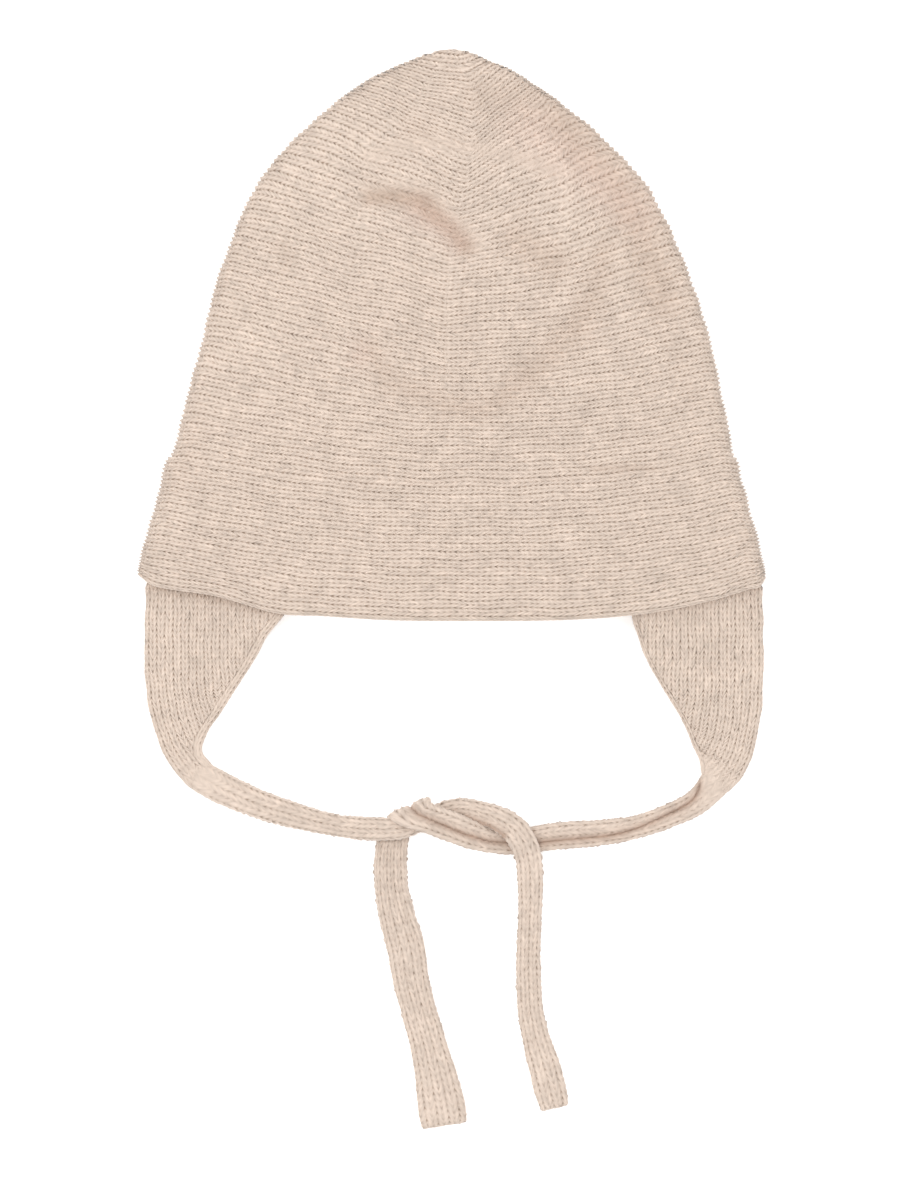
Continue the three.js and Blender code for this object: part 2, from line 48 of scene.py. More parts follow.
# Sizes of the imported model
HALF = 98.0
HEM_SAG = 13.6
HEM_CORNER = 3.4
CROWN_HEIGHT = 178.5
LOFT = 24.0
MOUTH = 9.0
WALL = 1.6
BAND_WALL = 2 * WALL
BAND_HEIGHT = 37.0
FLAP_WALL = 1.5
FLAP_DROP = 66.0
FLAP_TUCK = 9.0
TIE_WIDTH = 8.0
TIE_THICK = 3.2
KNOT_THICK = 2.4
STRAP_SAG = 13.6
TIE_END = 88.0
GAP = 0.3
FLAP_STACK = 2 * FLAP_WALL + 3 * GAP
BAND_FOLD = 2 * BAND_WALL + FLAP_STACK
FLAP_FOLD = 2 * FLAP_WALL + GAP
MOUTH_THICK = 2 * BAND_WALL + MOUTH
FRONT_BOW = 1.1
# The source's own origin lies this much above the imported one.
SHIFT_Y = CROWN_HEIGHT - max(v.co.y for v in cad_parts["crown"].data.vertices) / MM

# The knit
COURSE = 1.52
HALF_WALE = 1.26
SLANT = 1.5  # how many courses a leg crosses on its half wale
QUARTERS = 4  # points for each course
ROW_STEP = 0.5  # half wales between two lines of points
LEG_DEPTH = 0.24
SEAM_DEPTH = 0.34
TOOTH = 0.8
TOOTH_REACH = 4.5
UV_SCALE = 256.0  # stitches on the whole map
UV_SHIFT = 8  # keeps the hem's turned lines on the map
RING_POINTS = 181  # places across the front of a row
LINE_STEP = 0.3  # between two places of an even line
LINING_MAP = (0.66, 0.45)  # the lining's place on the map and its scale
CAP_ROW = 120.0  # the map's row for a flap's cut ends


def lerp(a, b, t):
    return a + (b - a) * t


def monotone(xs, ys, x):
    """A smooth curve through the points that never swings past them."""
    xs, ys = np.asarray(xs, float), np.asarray(ys, float)
    h = np.diff(xs)
    d = np.diff(ys) / h
    m = np.zeros(len(xs))
    m[0], m[-1] = d[0], d[-1]
    for i in range(1, len(xs) - 1):
        if d[i - 1] * d[i] > 0:
            w1, w2 = 2 * h[i] + h[i - 1], h[i] + 2 * h[i - 1]
            m[i] = (w1 + w2) / (w1 / d[i - 1] + w2 / d[i])
    i = np.clip(np.searchsorted(xs, x) - 1, 0, len(xs) - 2)
    t = np.clip((x - xs[i]) / h[i], 0, 1)
    t2, t3 = t * t, t * t * t
    return ((2 * t3 - 3 * t2 + 1) * ys[i] + (t3 - 2 * t2 + t) * h[i] * m[i]
            + (3 * t2 - 2 * t3) * ys[i + 1] + (t3 - t2) * h[i] * m[i + 1])


def smooth(values, place):
    """Catmull-Rom through a list of numbers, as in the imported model."""
    values = np.asarray(values, float)
    last = len(values) - 1
    place = np.asarray(place, float)
    row = np.clip(np.floor(place).astype(int), 0, last - 1)
    t = place - row
    a, b, c, d = (values[np.clip(row + k, 0, last)] for k in (-1, 0, 1, 2))
    return b + 0.5 * t * (c - a + (2 * a - 5 * b + 4 * c - d) * t + (3 * b - a - 3 * c + d) * t * t)


def arc_of(line):
    """Distances along a line of points."""
    return np.r_[0, np.cumsum(np.linalg.norm(np.diff(line, axis=0), axis=1))]


def resample(line, arc, at):
    """The values of a line of points at other distances along it."""
    return np.c_[tuple(np.interp(at, arc, line[:, k]) for k in range(line.shape[1]))]


def unit(vectors):
    """The same directions at length one."""
    return vectors / np.maximum(np.linalg.norm(vectors, axis=-1, keepdims=True), 1e-9)


# The shell of band and crown: the edge's height as a share of the piece, outline left and right, sag of a
# row, its bow, thickness in the middle as shares of mouth and loft, and the side fold's room for a flap.
BAND_ROWS = (
    (0, 1, 1, 1, 2.5, 1, 0, 1),
    (0.14, 0.997, 0.994, 0.96, 2.4, 1, 0.03, 1),
    (0.475, 0.959, 0.962, 0.86, 2.4, 0.85, 0.15, 1),
    (0.81, 0.924, 0.927, 0.73, 2.3, 0.72, 0.28, 1),
    (0.985, 0.911, 0.91, 0.66, 2.2, 0.65, 0.36, 1),
)
CROWN_ROWS = (
    (0.006, 0.897, 0.897, 0.66, 2.2, 0.65, 0.33, 1.6),
    (0.04, 0.882, 0.892, 0.66, 2.1, 0.6, 0.38, 1.5),
    (0.136, 0.847, 0.866, 0.74, 2, 0.45, 0.53, 1.2),
    (0.282, 0.8, 0.827, 0.96, 1.9, 0.25, 0.78, 1),
    (0.428, 0.75, 0.769, 1.3, 1.8, 0.1, 0.93, 0.9),
    (0.574, 0.684, 0.69, 1.75, 1.7, 0, 1, 0.8),
    (0.672, 0.618, 0.618, 2, 1.6, 0, 0.94, 0.75),
    (0.769, 0.517, 0.501, 2.1, 1.6, 0, 0.82, 0.7),
    (0.854, 0.394, 0.373, 1.95, 1.6, 0, 0.66, 0.6),
    (0.915, 0.284, 0.257, 1.6, 1.6, 0, 0.5, 0.5),
    (0.964, 0.152, 0.141, 1, 1.6, 0, 0.34, 0.35),
    (0.988, 0.076, 0.08, 0.45, 1.6, 0, 0.22, 0.2),
    (1, -0.011, 0.011, 0, 1.6, 0, 0.18, 0.1),
)
CROWN_BASE = HEM_SAG + BAND_HEIGHT + GAP
SHELL = {name: [] for name in ("y", "left", "right", "sag", "bow", "middle", "fold")}
for base, height, walls, table in (
    (HEM_SAG, BAND_HEIGHT, 2, BAND_ROWS),
    (CROWN_BASE, CROWN_HEIGHT - CROWN_BASE, 1, CROWN_ROWS),
):
    for up, left, right, sag, bow, mouth, loft, room in table:
        values = (base + up * height, left, right, sag * HEM_SAG, bow,
                  mouth * MOUTH_THICK + loft * LOFT, walls * BAND_WALL + room * FLAP_STACK)
        for name, value in zip(SHELL, values):
            SHELL[name].append(value)
EDGE_Y = np.linspace(HEM_SAG, CROWN_HEIGHT, 3000)
SHELL_AT = {name: monotone(SHELL["y"], SHELL[name], EDGE_Y) for name in SHELL}


def shell(name, edge_y):
    return np.interp(edge_y, EDGE_Y, SHELL_AT[name])


# Dents of the lying crown: a stretch of a valley, its width and its depth. Negative is a ridge.
DENTS = (
    (-0.26, 0.74, -0.07, 0.71, 0.03, 0.1),
    (-0.07, 0.71, 0.06, 0.64, 0.03, 0.1),
    (0.2, 0.67, 0.35, 0.62, 0.035, 0.07),
    (0.47, 0.62, 0.4, 0.5, 0.035, 0.06),
    (0.4, 0.5, 0.2, 0.4, 0.035, 0.07),
    (0.2, 0.4, -0.22, 0.41, 0.035, 0.05),
    (0.3, 0.87, 0.53, 0.75, 0.03, 0.06),
    (0.53, 0.75, 0.66, 0.56, 0.03, 0.05),
    (-0.22, 0.81, 0.3, 0.8, 0.035, -0.03),
)


def dent_depth(x, y):
    total = np.zeros_like(x)
    for x1, y1, x2, y2, width, depth in DENTS:
        line = (x1 * HALF, y1 * CROWN_HEIGHT), (x2 * HALF, y2 * CROWN_HEIGHT)
        away = away_from(x, y, line) / (width * CROWN_HEIGHT)
        total += depth * LOFT * np.exp(-away * away)
    return total


# Finer folds of the lying front: a line of places, its half width and depth, how much painted shade it
# gets, and how much it smooths the stitches.
FOLDS = (
    (((-25, 131), (-18, 131.5), (-10, 129.5), (-3.6, 123.7), (4.2, 115.5)), 2.8, 0.7, 1.0, 0.3),
    (((9, 164), (21, 161.5), (33.6, 155)), 6.0, 0.4, 0.3, 0.1),
    (((33.6, 155), (49.8, 136), (58.4, 121), (65, 99.5)), 7.0, 0.9, 0.55, 0.1),
    (((47.6, 115), (43, 99.5), (39.2, 92.4), (30.5, 82.5), (22.8, 75.6)), 4.5, 0.8, 0.38, 0.0),
    (((22.8, 75.6), (10.4, 65.4), (-2, 66.5), (-18.4, 73.8), (-24.6, 84)), 4.0, 0.6, 0.36, 0.1),
    (((20, 117), (31.2, 110.5)), 5.5, 0.5, 0.52, 0.0),
    (((-24.6, 143.5), (-16, 147.3), (-3.6, 148.5), (8.8, 146), (21, 143.5), (33.6, 139)),
     2.6, 0.5, 0.16, 0.75),
    (((-26, 133), (-14, 134.5), (-5, 130), (3, 122), (8, 116)), 2.6, -0.2, 0.0, 0.7),
    (((-52, 116), (-51, 110)), 3.0, 0.5, 0.25, 0.0),
    (((-12, 153), (-8, 151)), 3.5, 0.4, 0.22, 0.0),
    (((-79, 62), (-84, 45)), 5.0, 0.3, 0.12, 0.0),
    (((44, 47), (62, 47.4)), 0.9, 0.3, 0.5, 0.0),
    (((68, 88), (74, 70)), 4.0, 0.3, 0.14, 0.0),
)
# Faint pink in the yarn: a line of places, its half width and its strength.
BLUSHES = (
    (((24, 153), (40, 141), (57, 128)), 8.0, 1.0),
    (((-11, 127), (-2, 121), (2, 117)), 4.5, 1.0),
    (((-29, 81), (-28, 83)), 3.5, 0.7),
)


def away_from(x, y, line):
    """Distance of places from a line of points."""
    best = np.full(np.shape(x), 1e3)
    for (ax, ay), (bx, by) in zip(line, line[1:]):
        wx, wy = bx - ax, by - ay
        t = np.clip(((x - ax) * wx + (y - ay) * wy) / (wx * wx + wy * wy), 0, 1)
        best = np.minimum(best, np.hypot(x - ax - t * wx, y - ay - t * wy))
    return best


def fold_marks(x, y):
    """Depth, painted shade, smoothness and pink of the front at places."""
    depth, painted_shade, smooth_by, pink = (np.zeros(np.shape(x)) for _ in range(4))
    for line, width, deep, shade, plain in FOLDS:
        near = np.exp(-(away_from(x, y, line) / width) ** 2)
        depth += deep * near
        painted_shade = np.maximum(painted_shade, shade * near)
        smooth_by = np.maximum(smooth_by, plain * near)
    for line, width, strength in BLUSHES:
        pink += strength * np.exp(-(away_from(x, y, line) / width) ** 2)
    return depth, painted_shade, smooth_by, pink


# The small waves of the rows: their length, direction and swing.
WAVES = ((23, 0.4, 0.16), (14, 2.0, 0.12), (9, 1.1, 0.09), (6.3, 2.7, 0.06))


def wobble(points):
    """The waves that keep rows of hand-laid cloth from being ruled lines."""
    x, y = points[:, 0], points[:, 1]
    shift = np.zeros((len(points), 2))
    for k, (length, turn, swing) in enumerate(WAVES):
        wave = 2 * math.pi * (x * math.cos(turn) + y * math.sin(turn)) / length + 1.7 * k
        shift[:, 0] += swing * np.sin(wave * 1.13 + 0.6)
        shift[:, 1] += swing * np.cos(wave)
    return shift


def front_z(x, y):
    """Height of the front sheet over a place of the plan."""
    low, high = y.copy(), np.minimum(y + 34, CROWN_HEIGHT)
    for _ in range(24):
        mid = (low + high) / 2
        left = -shell("left", mid) * HALF + shell("fold", mid) / 2
        right = shell("right", mid) * HALF - shell("fold", mid) / 2
        share = np.clip(2 * (x - left) / np.maximum(right - left, 0.1) - 1, -1, 1)
        above = mid - shell("sag", mid) * (1 - np.abs(share) ** shell("bow", mid)) > y
        high = np.where(above, mid, high)
        low = np.where(above, low, mid)
    fold = shell("fold", mid)
    rise = np.maximum(shell("middle", mid) - fold, 0) * (1 - share * share) ** FRONT_BOW
    return fold + rise - (dent_depth(x, y) + fold_marks(x, y)[0]) * (1 - share ** 8)


# The knit's rows, by the height of their middle: how much the row rises to the left and right side fold,
# how it bows, how soft its corner in the middle is, and how far each gore's stretch bulges up.
ROWS = {
    "y": (0, 23.6, 46.8, 62.3, 84, 99.5, 125.9, 139.8, 158.4, 170.8, 178.5),
    "left": (11, 10.2, 10, 12.4, 17.4, 18, 19.2, 18, 9.9, 3.1, 0),
    "right": (10.2, 7.9, 7.2, 8.4, 11.8, 14.9, 20.4, 19.2, 10.5, 3.7, 0),
    "left_bow": (1.6, 1.5, 1.3, 1.25, 1.08, 1.05, 1.1, 1.1, 1.2, 1.4, 1.5),
    "right_bow": (2.5, 2.1, 2.1, 2.1, 2, 1.8, 1.3, 1.15, 1.2, 1.4, 1.5),
    "soft": (0.3, 0.25, 0.2, 0.15, 0.05, 0.04, 0.03, 0.03, 0.05, 0.1, 0.1),
    "bulge": (0, 0, 0, 0, 0.4, 0.8, 1.3, 1.4, 1.0, 0.4, 0),
}
# The gore lines on the front, as places across at heights.
GORE_Y = (0, 60, 90, 110, 131, 141, 152, 166, 174, 178.5)
GORES = (
    (-40, -37, -33, -29.5, -29, -25.6, -14.5, -8.8, -5.1, -1),
    (1.1, -0.5, -1.6, -1.2, 2, 4.5, 6.2, 6.7, 6.7, 2),
    (40, 37, 35.5, 35.5, 35.6, 31.5, 28, 22, 16, 4),
)
# The distance of two half wales, at heights.
PITCH_Y = (0, 41.5, 62, 99, 131, 160, 178.5)
PITCH = (1.26, 1.25, 1.21, 1.32, 1.45, 1.47, 1.4)
BAND_LINES = 32
GORES_FROM = 66  # the gores show above this height
CORNER_HEIGHT = 20  # up to here the side folds' corners turn up
HEM_WAVE_HEIGHT = 14
HEM_WAVES = ((1.1, 0.75, 0.13), (-1.3, 0.47, 0.12))  # the left hem's waves: swing, place and half width


def row_value(name, y):
    return monotone(ROWS["y"], ROWS[name], y)


def row_heights():
    """The middle's height for each line of points, from the hem up."""
    heights = [1.4]
    while heights[-1] < CROWN_HEIGHT - 1.2:
        heights.append(heights[-1] + ROW_STEP * float(np.interp(heights[-1], PITCH_Y, PITCH)))
    return np.array(heights)


def ring(y_mid):
    """One row of the knit all the way round, from the left fold over the front to the back."""
    rise_l, rise_r = row_value("left", y_mid), row_value("right", y_mid)
    corner = HEM_CORNER * max(1 - y_mid / CORNER_HEIGHT, 0) ** 2
    tip_l = min(y_mid + rise_l + corner, CROWN_HEIGHT)
    tip_r = min(y_mid + rise_r + corner, CROWN_HEIGHT)
    rad_l, rad_r = shell("fold", tip_l) / 2, shell("fold", tip_r) / 2
    xl = -shell("left", tip_l) * HALF + rad_l
    xr = shell("right", tip_r) * HALF - rad_r
    if xr - xl < 1:
        xl, xr = (xl + xr) / 2 - 0.5, (xl + xr) / 2 + 0.5
    x = np.linspace(xl, xr, RING_POINTS)
    mid = float(np.interp(y_mid, GORE_Y, GORES[1]))
    mid = min(max(mid, lerp(xl, xr, 0.3)), lerp(xl, xr, 0.7))
    side = x > mid
    s = np.where(side, (x - mid) / (xr - mid), (mid - x) / (mid - xl))
    soft = row_value("soft", y_mid)
    s = (np.sqrt(s * s + soft * soft) - soft) / (math.sqrt(1 + soft * soft) - soft)
    bow = np.where(side, row_value("right_bow", y_mid), row_value("left_bow", y_mid))
    y = y_mid + np.where(side, rise_r, rise_l) * s ** bow
    fade = max(1 - y_mid / HEM_WAVE_HEIGHT, 0)
    wave = sum(swing * np.exp(-((s - place) / width) ** 2) for swing, place, width in HEM_WAVES)
    y = y + np.where(side, 0, fade * wave)
    marks = [xl, *(float(np.interp(y_mid + 6, GORE_Y, g)) for g in GORES), xr]
    marks[1] = min(marks[1], lerp(xl, xr, 0.35))
    marks[3] = max(marks[3], lerp(xl, xr, 0.65))
    for k in range(4):
        if marks[k + 1] > marks[k]:
            t = np.clip((x - marks[k]) / (marks[k + 1] - marks[k]), 0, 1)
            y = y + row_value("bulge", y_mid) * 4 * t * (1 - t) * (1 if k in (1, 2) else 0.6)
    return x, y, (rad_l, rad_r), corner, marks


def side_turn(angles, end, radius, rise, corner, side):
    """A quarter turn of a side fold, by its angles from upright, from the end of a row outwards."""
    sine = np.sin(angles)
    bend = sine if side < 0 else sine ** 4
    return np.c_[end[0] + side * radius * sine, end[1] + corner * bend, radius + rise * np.cos(angles)]


class Shell:
    """The outer face of band and crown as a grid: lines of the knit by places round the ring."""

    places = 1400

    def __init__(self):
        self.heights = row_heights()
        plans = [ring(y) for y in self.heights]
        xs = np.array([p[0] for p in plans])
        ys = np.array([p[1] for p in plans])
        zs = front_z(xs, ys)
        grid, self.length, self.marks = [], [], []
        quarter = np.linspace(0, math.pi / 2, 9)
        for i, (x, y, (rl, rr), corner, marks) in enumerate(plans):
            z = zs[i]
            left, right = (x[0], y[0]), (x[-1], y[-1])
            left_up = side_turn(quarter[:0:-1], left, rl, z[0] - rl, corner, -1)
            right_up = side_turn(quarter[1:], right, rr, z[-1] - rr, corner, 1)
            right_low = side_turn(quarter[-2::-1], right, rr, -rr, corner, 1)
            left_low = side_turn(quarter[1:], left, rl, -rl, corner, -1)
            back = np.c_[x[::-1], y[::-1], np.zeros(len(x))]
            line = np.vstack([left_up, np.c_[x, y, z], right_up, right_low, back[1:], left_low])
            arc = arc_of(line)
            n_up, n_x = len(left_up), len(x)
            front_arc = arc[n_up:n_up + n_x]
            right_tip = arc[n_up + n_x + len(right_up) - 1]
            back_start = n_up + n_x + len(right_up) + len(right_low)
            back_arc = arc[back_start - 1:back_start - 1 + n_x]
            front = [float(np.interp(m, x, front_arc)) for m in marks[1:4]]
            behind = [float(np.interp(-m, -x[::-1], back_arc)) for m in marks[3:0:-1]]
            self.marks.append([0, *front, right_tip, *behind, arc[-1]])
            self.length.append(arc[-1])
            at = np.linspace(0, arc[-1], self.places, endpoint=False)
            grid.append(resample(line, arc, at))
        self.points = np.array(grid)
        self.length = np.array(self.length)
        self.marks = np.array(self.marks)
        along = np.roll(self.points, -3, axis=1) - np.roll(self.points, 3, axis=1)
        up = np.gradient(self.points, axis=0)
        normal = unit(np.cross(along, up))
        # A small kink of a row doesn't turn its stitches inside out.
        self.normals = sum(np.roll(normal, step, axis=1) for step in range(-3, 4)) / 7

    def at(self, line, arc):
        """Points and normals on a line, at distances round the ring."""
        f = np.asarray(arc) / self.length[line] * self.places
        i = np.floor(f).astype(int)
        t = (f - i)[:, None]
        i0, i1 = i % self.places, (i + 1) % self.places
        point = lerp(self.points[line, i0], self.points[line, i1], t)
        normal = lerp(self.normals[line, i0], self.normals[line, i1], t)
        return point, unit(normal)


def tri(b):
    """0 at even lines of dips, 1 at odd ones."""
    return 1 - np.abs(np.mod(b, 2) - 1)


def shear_of(b):
    """How many courses the legs have crossed at a line of the knit."""
    return SLANT * float(tri(b))


def relief(b, c):
    """Height of the knit's face, 0 at its highest, from the half wales b and the leg count c."""
    gap = 0.5 + 0.5 * np.cos(2 * math.pi * c)
    seam = (0.5 + 0.5 * np.cos(2 * math.pi * b)) * (1.15 - 0.4 * tri(b))
    return -(LEG_DEPTH * gap * (0.6 + 0.4 * seam) + SEAM_DEPTH * seam * (0.45 + 0.55 * gap))


class Skin:
    """Gathers points, faces, stitch counts and piece names, then makes the Blender meshes."""

    def __init__(self):
        self.points, self.faces, self.counts, self.groups, self.marks = [], [], [], [], []
        self.total = 0

    def add(self, points, marks=None):
        """Points, with how much painted shade each one has and how smooth and pink it is."""
        points = np.asarray(points, float).reshape(-1, 3)
        self.marks.append(np.zeros((len(points), 3)) if marks is None else marks)
        ids = np.arange(self.total, self.total + len(points))
        self.points.append(points)
        self.total += len(points)
        return ids

    def faces_from(self, triangles, counts, group):
        self.faces.append(np.asarray(triangles, np.int64).reshape(-1, 3))
        self.counts.append(np.asarray(counts, float).reshape(-1, 3, 2))
        self.groups.append(np.full(len(self.faces[-1]), group))

    def zip(self, low, high, group):
        """Faces between two lines of points. Each line is (ids, keys, counts), with keys that rise."""
        (ia, ka, ca), (ib, kb, cb) = low, high
        na, nb = len(ia), len(ib)
        tris, cnts = [], []
        i = j = 0
        ka, kb = list(ka), list(kb)
        while i < na - 1 or j < nb - 1:
            if j == nb - 1 or (i < na - 1 and ka[i + 1] + ka[i] <= kb[j + 1] + kb[j]):
                tris.append((ia[i], ia[i + 1], ib[j]))
                cnts.append((ca[i], ca[i + 1], cb[j]))
                i += 1
            else:
                tris.append((ia[i], ib[j + 1], ib[j]))
                cnts.append((ca[i], cb[j + 1], cb[j]))
                j += 1
        self.faces_from(tris, cnts, group)

    def cap(self, outside, inside, flip):
        """Joins the ends of an outer face's lines to the ends of an inner face's lines."""
        rows = []
        points = np.vstack(self.points)
        for ids in (outside, inside):
            arc = arc_of(points[ids])
            rows.append((np.array(ids), arc / arc[-1], uv_of(arc / FLAP_COURSE, CAP_ROW)))
        self.zip(rows[flip], rows[1 - flip], 0)

    def mirror(self):
        """Turns a right piece into a left one."""
        self.points = [p * (-1, 1, 1) for p in self.points]
        self.faces = [f[:, ::-1] for f in self.faces]
        self.counts = [c[:, ::-1] for c in self.counts]

    def turn_out(self):
        """Flips every face where they point into the piece."""
        points, faces = np.vstack(self.points), np.vstack(self.faces)
        a, b, c = (points[faces[:, k]] for k in range(3))
        if np.einsum("ij,ij->", a, np.cross(b, c)) < 0:
            self.faces = [f[:, ::-1] for f in self.faces]
            self.counts = [x[:, ::-1] for x in self.counts]

    def build(self, names):
        points = (np.vstack(self.points) - np.array([0, SHIFT_Y, 0])) * MM
        faces, counts = np.vstack(self.faces), np.vstack(self.counts)
        groups = np.concatenate(self.groups)
        corners = points[faces]
        area = np.cross(corners[:, 1] - corners[:, 0], corners[:, 2] - corners[:, 0])
        keep = np.linalg.norm(area, axis=1) > 1e-14
        faces, counts, groups, area = faces[keep], counts[keep], groups[keep], area[keep]
        normals = np.zeros_like(points)
        for k in range(3):
            np.add.at(normals, faces[:, k], area)
        normals /= np.maximum(np.linalg.norm(normals, axis=1, keepdims=True), 1e-20)
        made = []
        for index, name in enumerate(names):
            mine = groups == index
            used, inverse = np.unique(faces[mine], return_inverse=True)
            inverse = inverse.reshape(-1, 3)
            mesh = bpy.data.meshes.new(name)
            mesh.from_pydata(points[used].tolist(), [], inverse.tolist())
            mesh.polygons.foreach_set("use_smooth", np.ones(len(inverse), bool))
            uv = counts[mine].reshape(-1, 2)
            for layer in ("stitch", "OFBake"):
                mesh.uv_layers.new(name=layer).data.foreach_set("uv", uv.ravel().astype(np.float32))
            mesh.uv_layers["stitch"].active_render = True
            attribute = mesh.attributes.new("marks", "FLOAT_VECTOR", "POINT")
            attribute.data.foreach_set("vector", np.vstack(self.marks)[used].ravel().astype(np.float32))
            mesh.normals_split_custom_set_from_vertices(normals[used].tolist())
            obj = bpy.data.objects.new(name, mesh)
            bpy.context.scene.collection.objects.link(obj)
            made.append(obj)
        return made


def uv_of(a, b):
    """Stitch counts as a map in 0 to 1."""
    a = np.broadcast_to(np.asarray(a, float), np.broadcast(a, b).shape)
    b = np.broadcast_to(b, a.shape)
    return np.c_[a.ravel() / UV_SCALE, (b.ravel() + UV_SHIFT) * (HALF_WALE / COURSE) / UV_SCALE]


def gored_line(marks, mids, spacing, shear):
    """A line's stitch counts and distances, gore by gore, and which points begin a gore."""
    counts, arcs, ends = [], [], []
    for begin, finish, middle in zip(marks, marks[1:], mids):
        half = (finish - begin) / spacing / 2
        lo, hi = middle - half, middle + half
        first = math.ceil((lo - shear) * QUARTERS + 0.35)
        last = math.floor((hi - shear) * QUARTERS - 0.35)
        inner = np.arange(first, last + 1) / QUARTERS + shear
        counts.append(np.r_[lo, inner])
        arcs.append(np.r_[begin, begin + (inner - lo) * spacing])
        ends.append(np.arange(len(inner) + 1) == 0)
    return np.concatenate(counts), np.concatenate(arcs), np.concatenate(ends)


def make_shell():
    surface = Shell()
    skin = Skin()
    lines = len(surface.heights)
    start = int(np.searchsorted(surface.heights, GORES_FROM))
    start -= start % 2
    count = int(round(surface.length[start] / COURSE))
    spacing = surface.length[start] / count
    at_start = surface.marks[start] / spacing
    mids = (at_start[1:] + at_start[:-1]) / 2
    band_top = 2 * BAND_LINES
    whole = np.arange(count * QUARTERS) / QUARTERS
    rows = []
    for line in range(lines):
        b = line * ROW_STEP
        shear = shear_of(b)
        if line < start:
            a = np.sort(np.mod(whole + shear, count))
            arc = a / count * surface.length[line]
            ends = np.zeros(len(a), bool)
        else:
            a, arc, ends = gored_line(surface.marks[line], mids, spacing, shear)
        point, normal = surface.at(line, arc)
        front_end = surface.marks[line][4]
        _, painted_shade, plain, pink = fold_marks(point[:, 0], point[:, 1])
        # Painted shade of the creases, with smoothness and pink, on the front only.
        marks = np.c_[painted_shade, plain, pink] * (arc < front_end)[:, None]
        h = relief(b, a - shear)
        h = np.where(ends, -0.6 * SEAM_DEPTH, h) * (1 - 0.75 * marks[:, 1])
        h = h * (1 + 0.25 * rng.standard_normal(len(h))) + 0.02 * rng.standard_normal(len(h))
        # Rows show as teeth where the cloth folds back at the sides.
        tip_away = np.minimum(np.minimum(arc, surface.length[line] - arc), np.abs(arc - front_end))
        tooth = TOOTH * (0.5 + 0.5 * math.cos(2 * math.pi * b))
        h = np.minimum(h, 0.04) - tooth * np.exp(-(tip_away / TOOTH_REACH) ** 2)
        point = point + normal * h[:, None]
        point[:, :2] += wobble(point)
        point[:, 2] = np.maximum(point[:, 2], 0.0)
        rows.append((skin.add(point, marks), a - shear, a, b, ends, arc))
    for line, (low, high) in enumerate(zip(rows, rows[1:])):
        if line + 1 < start:
            # Whole rings: point i of one line meets point i of the next.
            sa, sb = shear_of(low[3]), shear_of(high[3])
            a0, a1 = np.mod(whole + sa, count), np.mod(whole + sb, count)
            tris, cnts = ring_faces(by_leg(low, count), by_leg(high, count), a0, a1, low[3], high[3], count)
            x_mid = np.mod(whole + (sa + sb) / 2, count) / count
            front = x_mid < surface.marks[line][4] / surface.length[line]
            for which, flag in ((0, front), (1, ~front)):
                mask = np.tile(flag, 2)
                skin.faces_from(tris[mask], cnts[mask], 2 if line < band_top else which)
        else:
            for k in range(8):
                part_low = panel_part(low, k, line >= start, at_start, mids, count)
                part_high = panel_part(high, k, True, at_start, mids, count)
                skin.zip(part_low, part_high, 2 if line < band_top else k // 4)
    add_tip(skin, rows[-1], surface.marks[-1][4], count)
    turn = add_hem_turn(skin, surface, rows[0], count)
    add_lining(skin, surface, count, band_top, turn)
    return skin.build(["crown_front", "crown_back", "brim_band_knit"])


def by_leg(row, count):
    """A ring's points in the order of their legs."""
    return row[0][np.argsort(np.mod(row[1], count), kind="stable")]


def ring_faces(ia, ib, a0, a1, b0, b1, count):
    """Two triangles for each cell between two rings, split along the legs."""
    # Where the counts wrap round, the map runs on past the last stitch.
    wrap = np.abs(a0 - a1) > count / 2
    corners = []
    for a, b, behind in ((a0, b0, a0 < a1), (a1, b1, a1 < a0)):
        past = np.c_[np.where(behind, count, 0.0) * wrap / UV_SCALE, np.zeros(len(a))]
        corners += [uv_of(a, b) + past, uv_of(a + 1 / QUARTERS, b) + past]
    u0, u0n, u1, u1n = corners
    ia_next, ib_next = np.roll(ia, -1), np.roll(ib, -1)
    return (np.vstack([np.c_[ia, ia_next, ib_next], np.c_[ia, ib_next, ib]]),
            np.concatenate([np.stack([u0, u0n, u1n], 1), np.stack([u0, u1n, u1], 1)]))


def panel_part(row, k, gored, at_start, mids, count):
    """One gore's points of a line, with both of its end points."""
    ids, key, a, b, ends, _ = row
    if gored:
        bounds = np.r_[np.flatnonzero(ends), len(ids)]
        first, last = bounds[k], bounds[k + 1]
        pick = np.r_[np.arange(first, last), last % len(ids)]
        counts = np.r_[a[first:last], 2 * mids[k] - a[first]]
        return ids[pick], counts - shear_of(b), uv_of(counts, b)
    pick = np.flatnonzero((a >= at_start[k] - 0.13) & (a < at_start[k + 1] - 0.13))
    extra = pick[-1] + 1
    pick = np.r_[pick, extra % len(ids)]
    keys, counts = key[pick].copy(), a[pick].copy()
    if extra == len(ids):
        keys[-1] += count
        counts[-1] += count
    return ids[pick], keys, uv_of(counts, b)


def add_tip(skin, top, half, count):
    """Closes the crown at its tip."""
    tip = skin.add([[1.1, CROWN_HEIGHT - 0.4, 2.6]])[0]
    ids = top[0]
    tris = np.c_[ids, np.roll(ids, -1), np.full(len(ids), tip)]
    uv = uv_of(top[2], top[3])
    uv_tip = np.repeat(uv_of(np.array([count / 2.0]), top[3] + 1), len(ids), axis=0)
    cnts = np.stack([uv, uv, uv_tip], axis=1)
    front = top[5] < half - 1e-6
    for group, mask in enumerate((front, ~front)):
        skin.faces_from(tris[mask], cnts[mask], group)


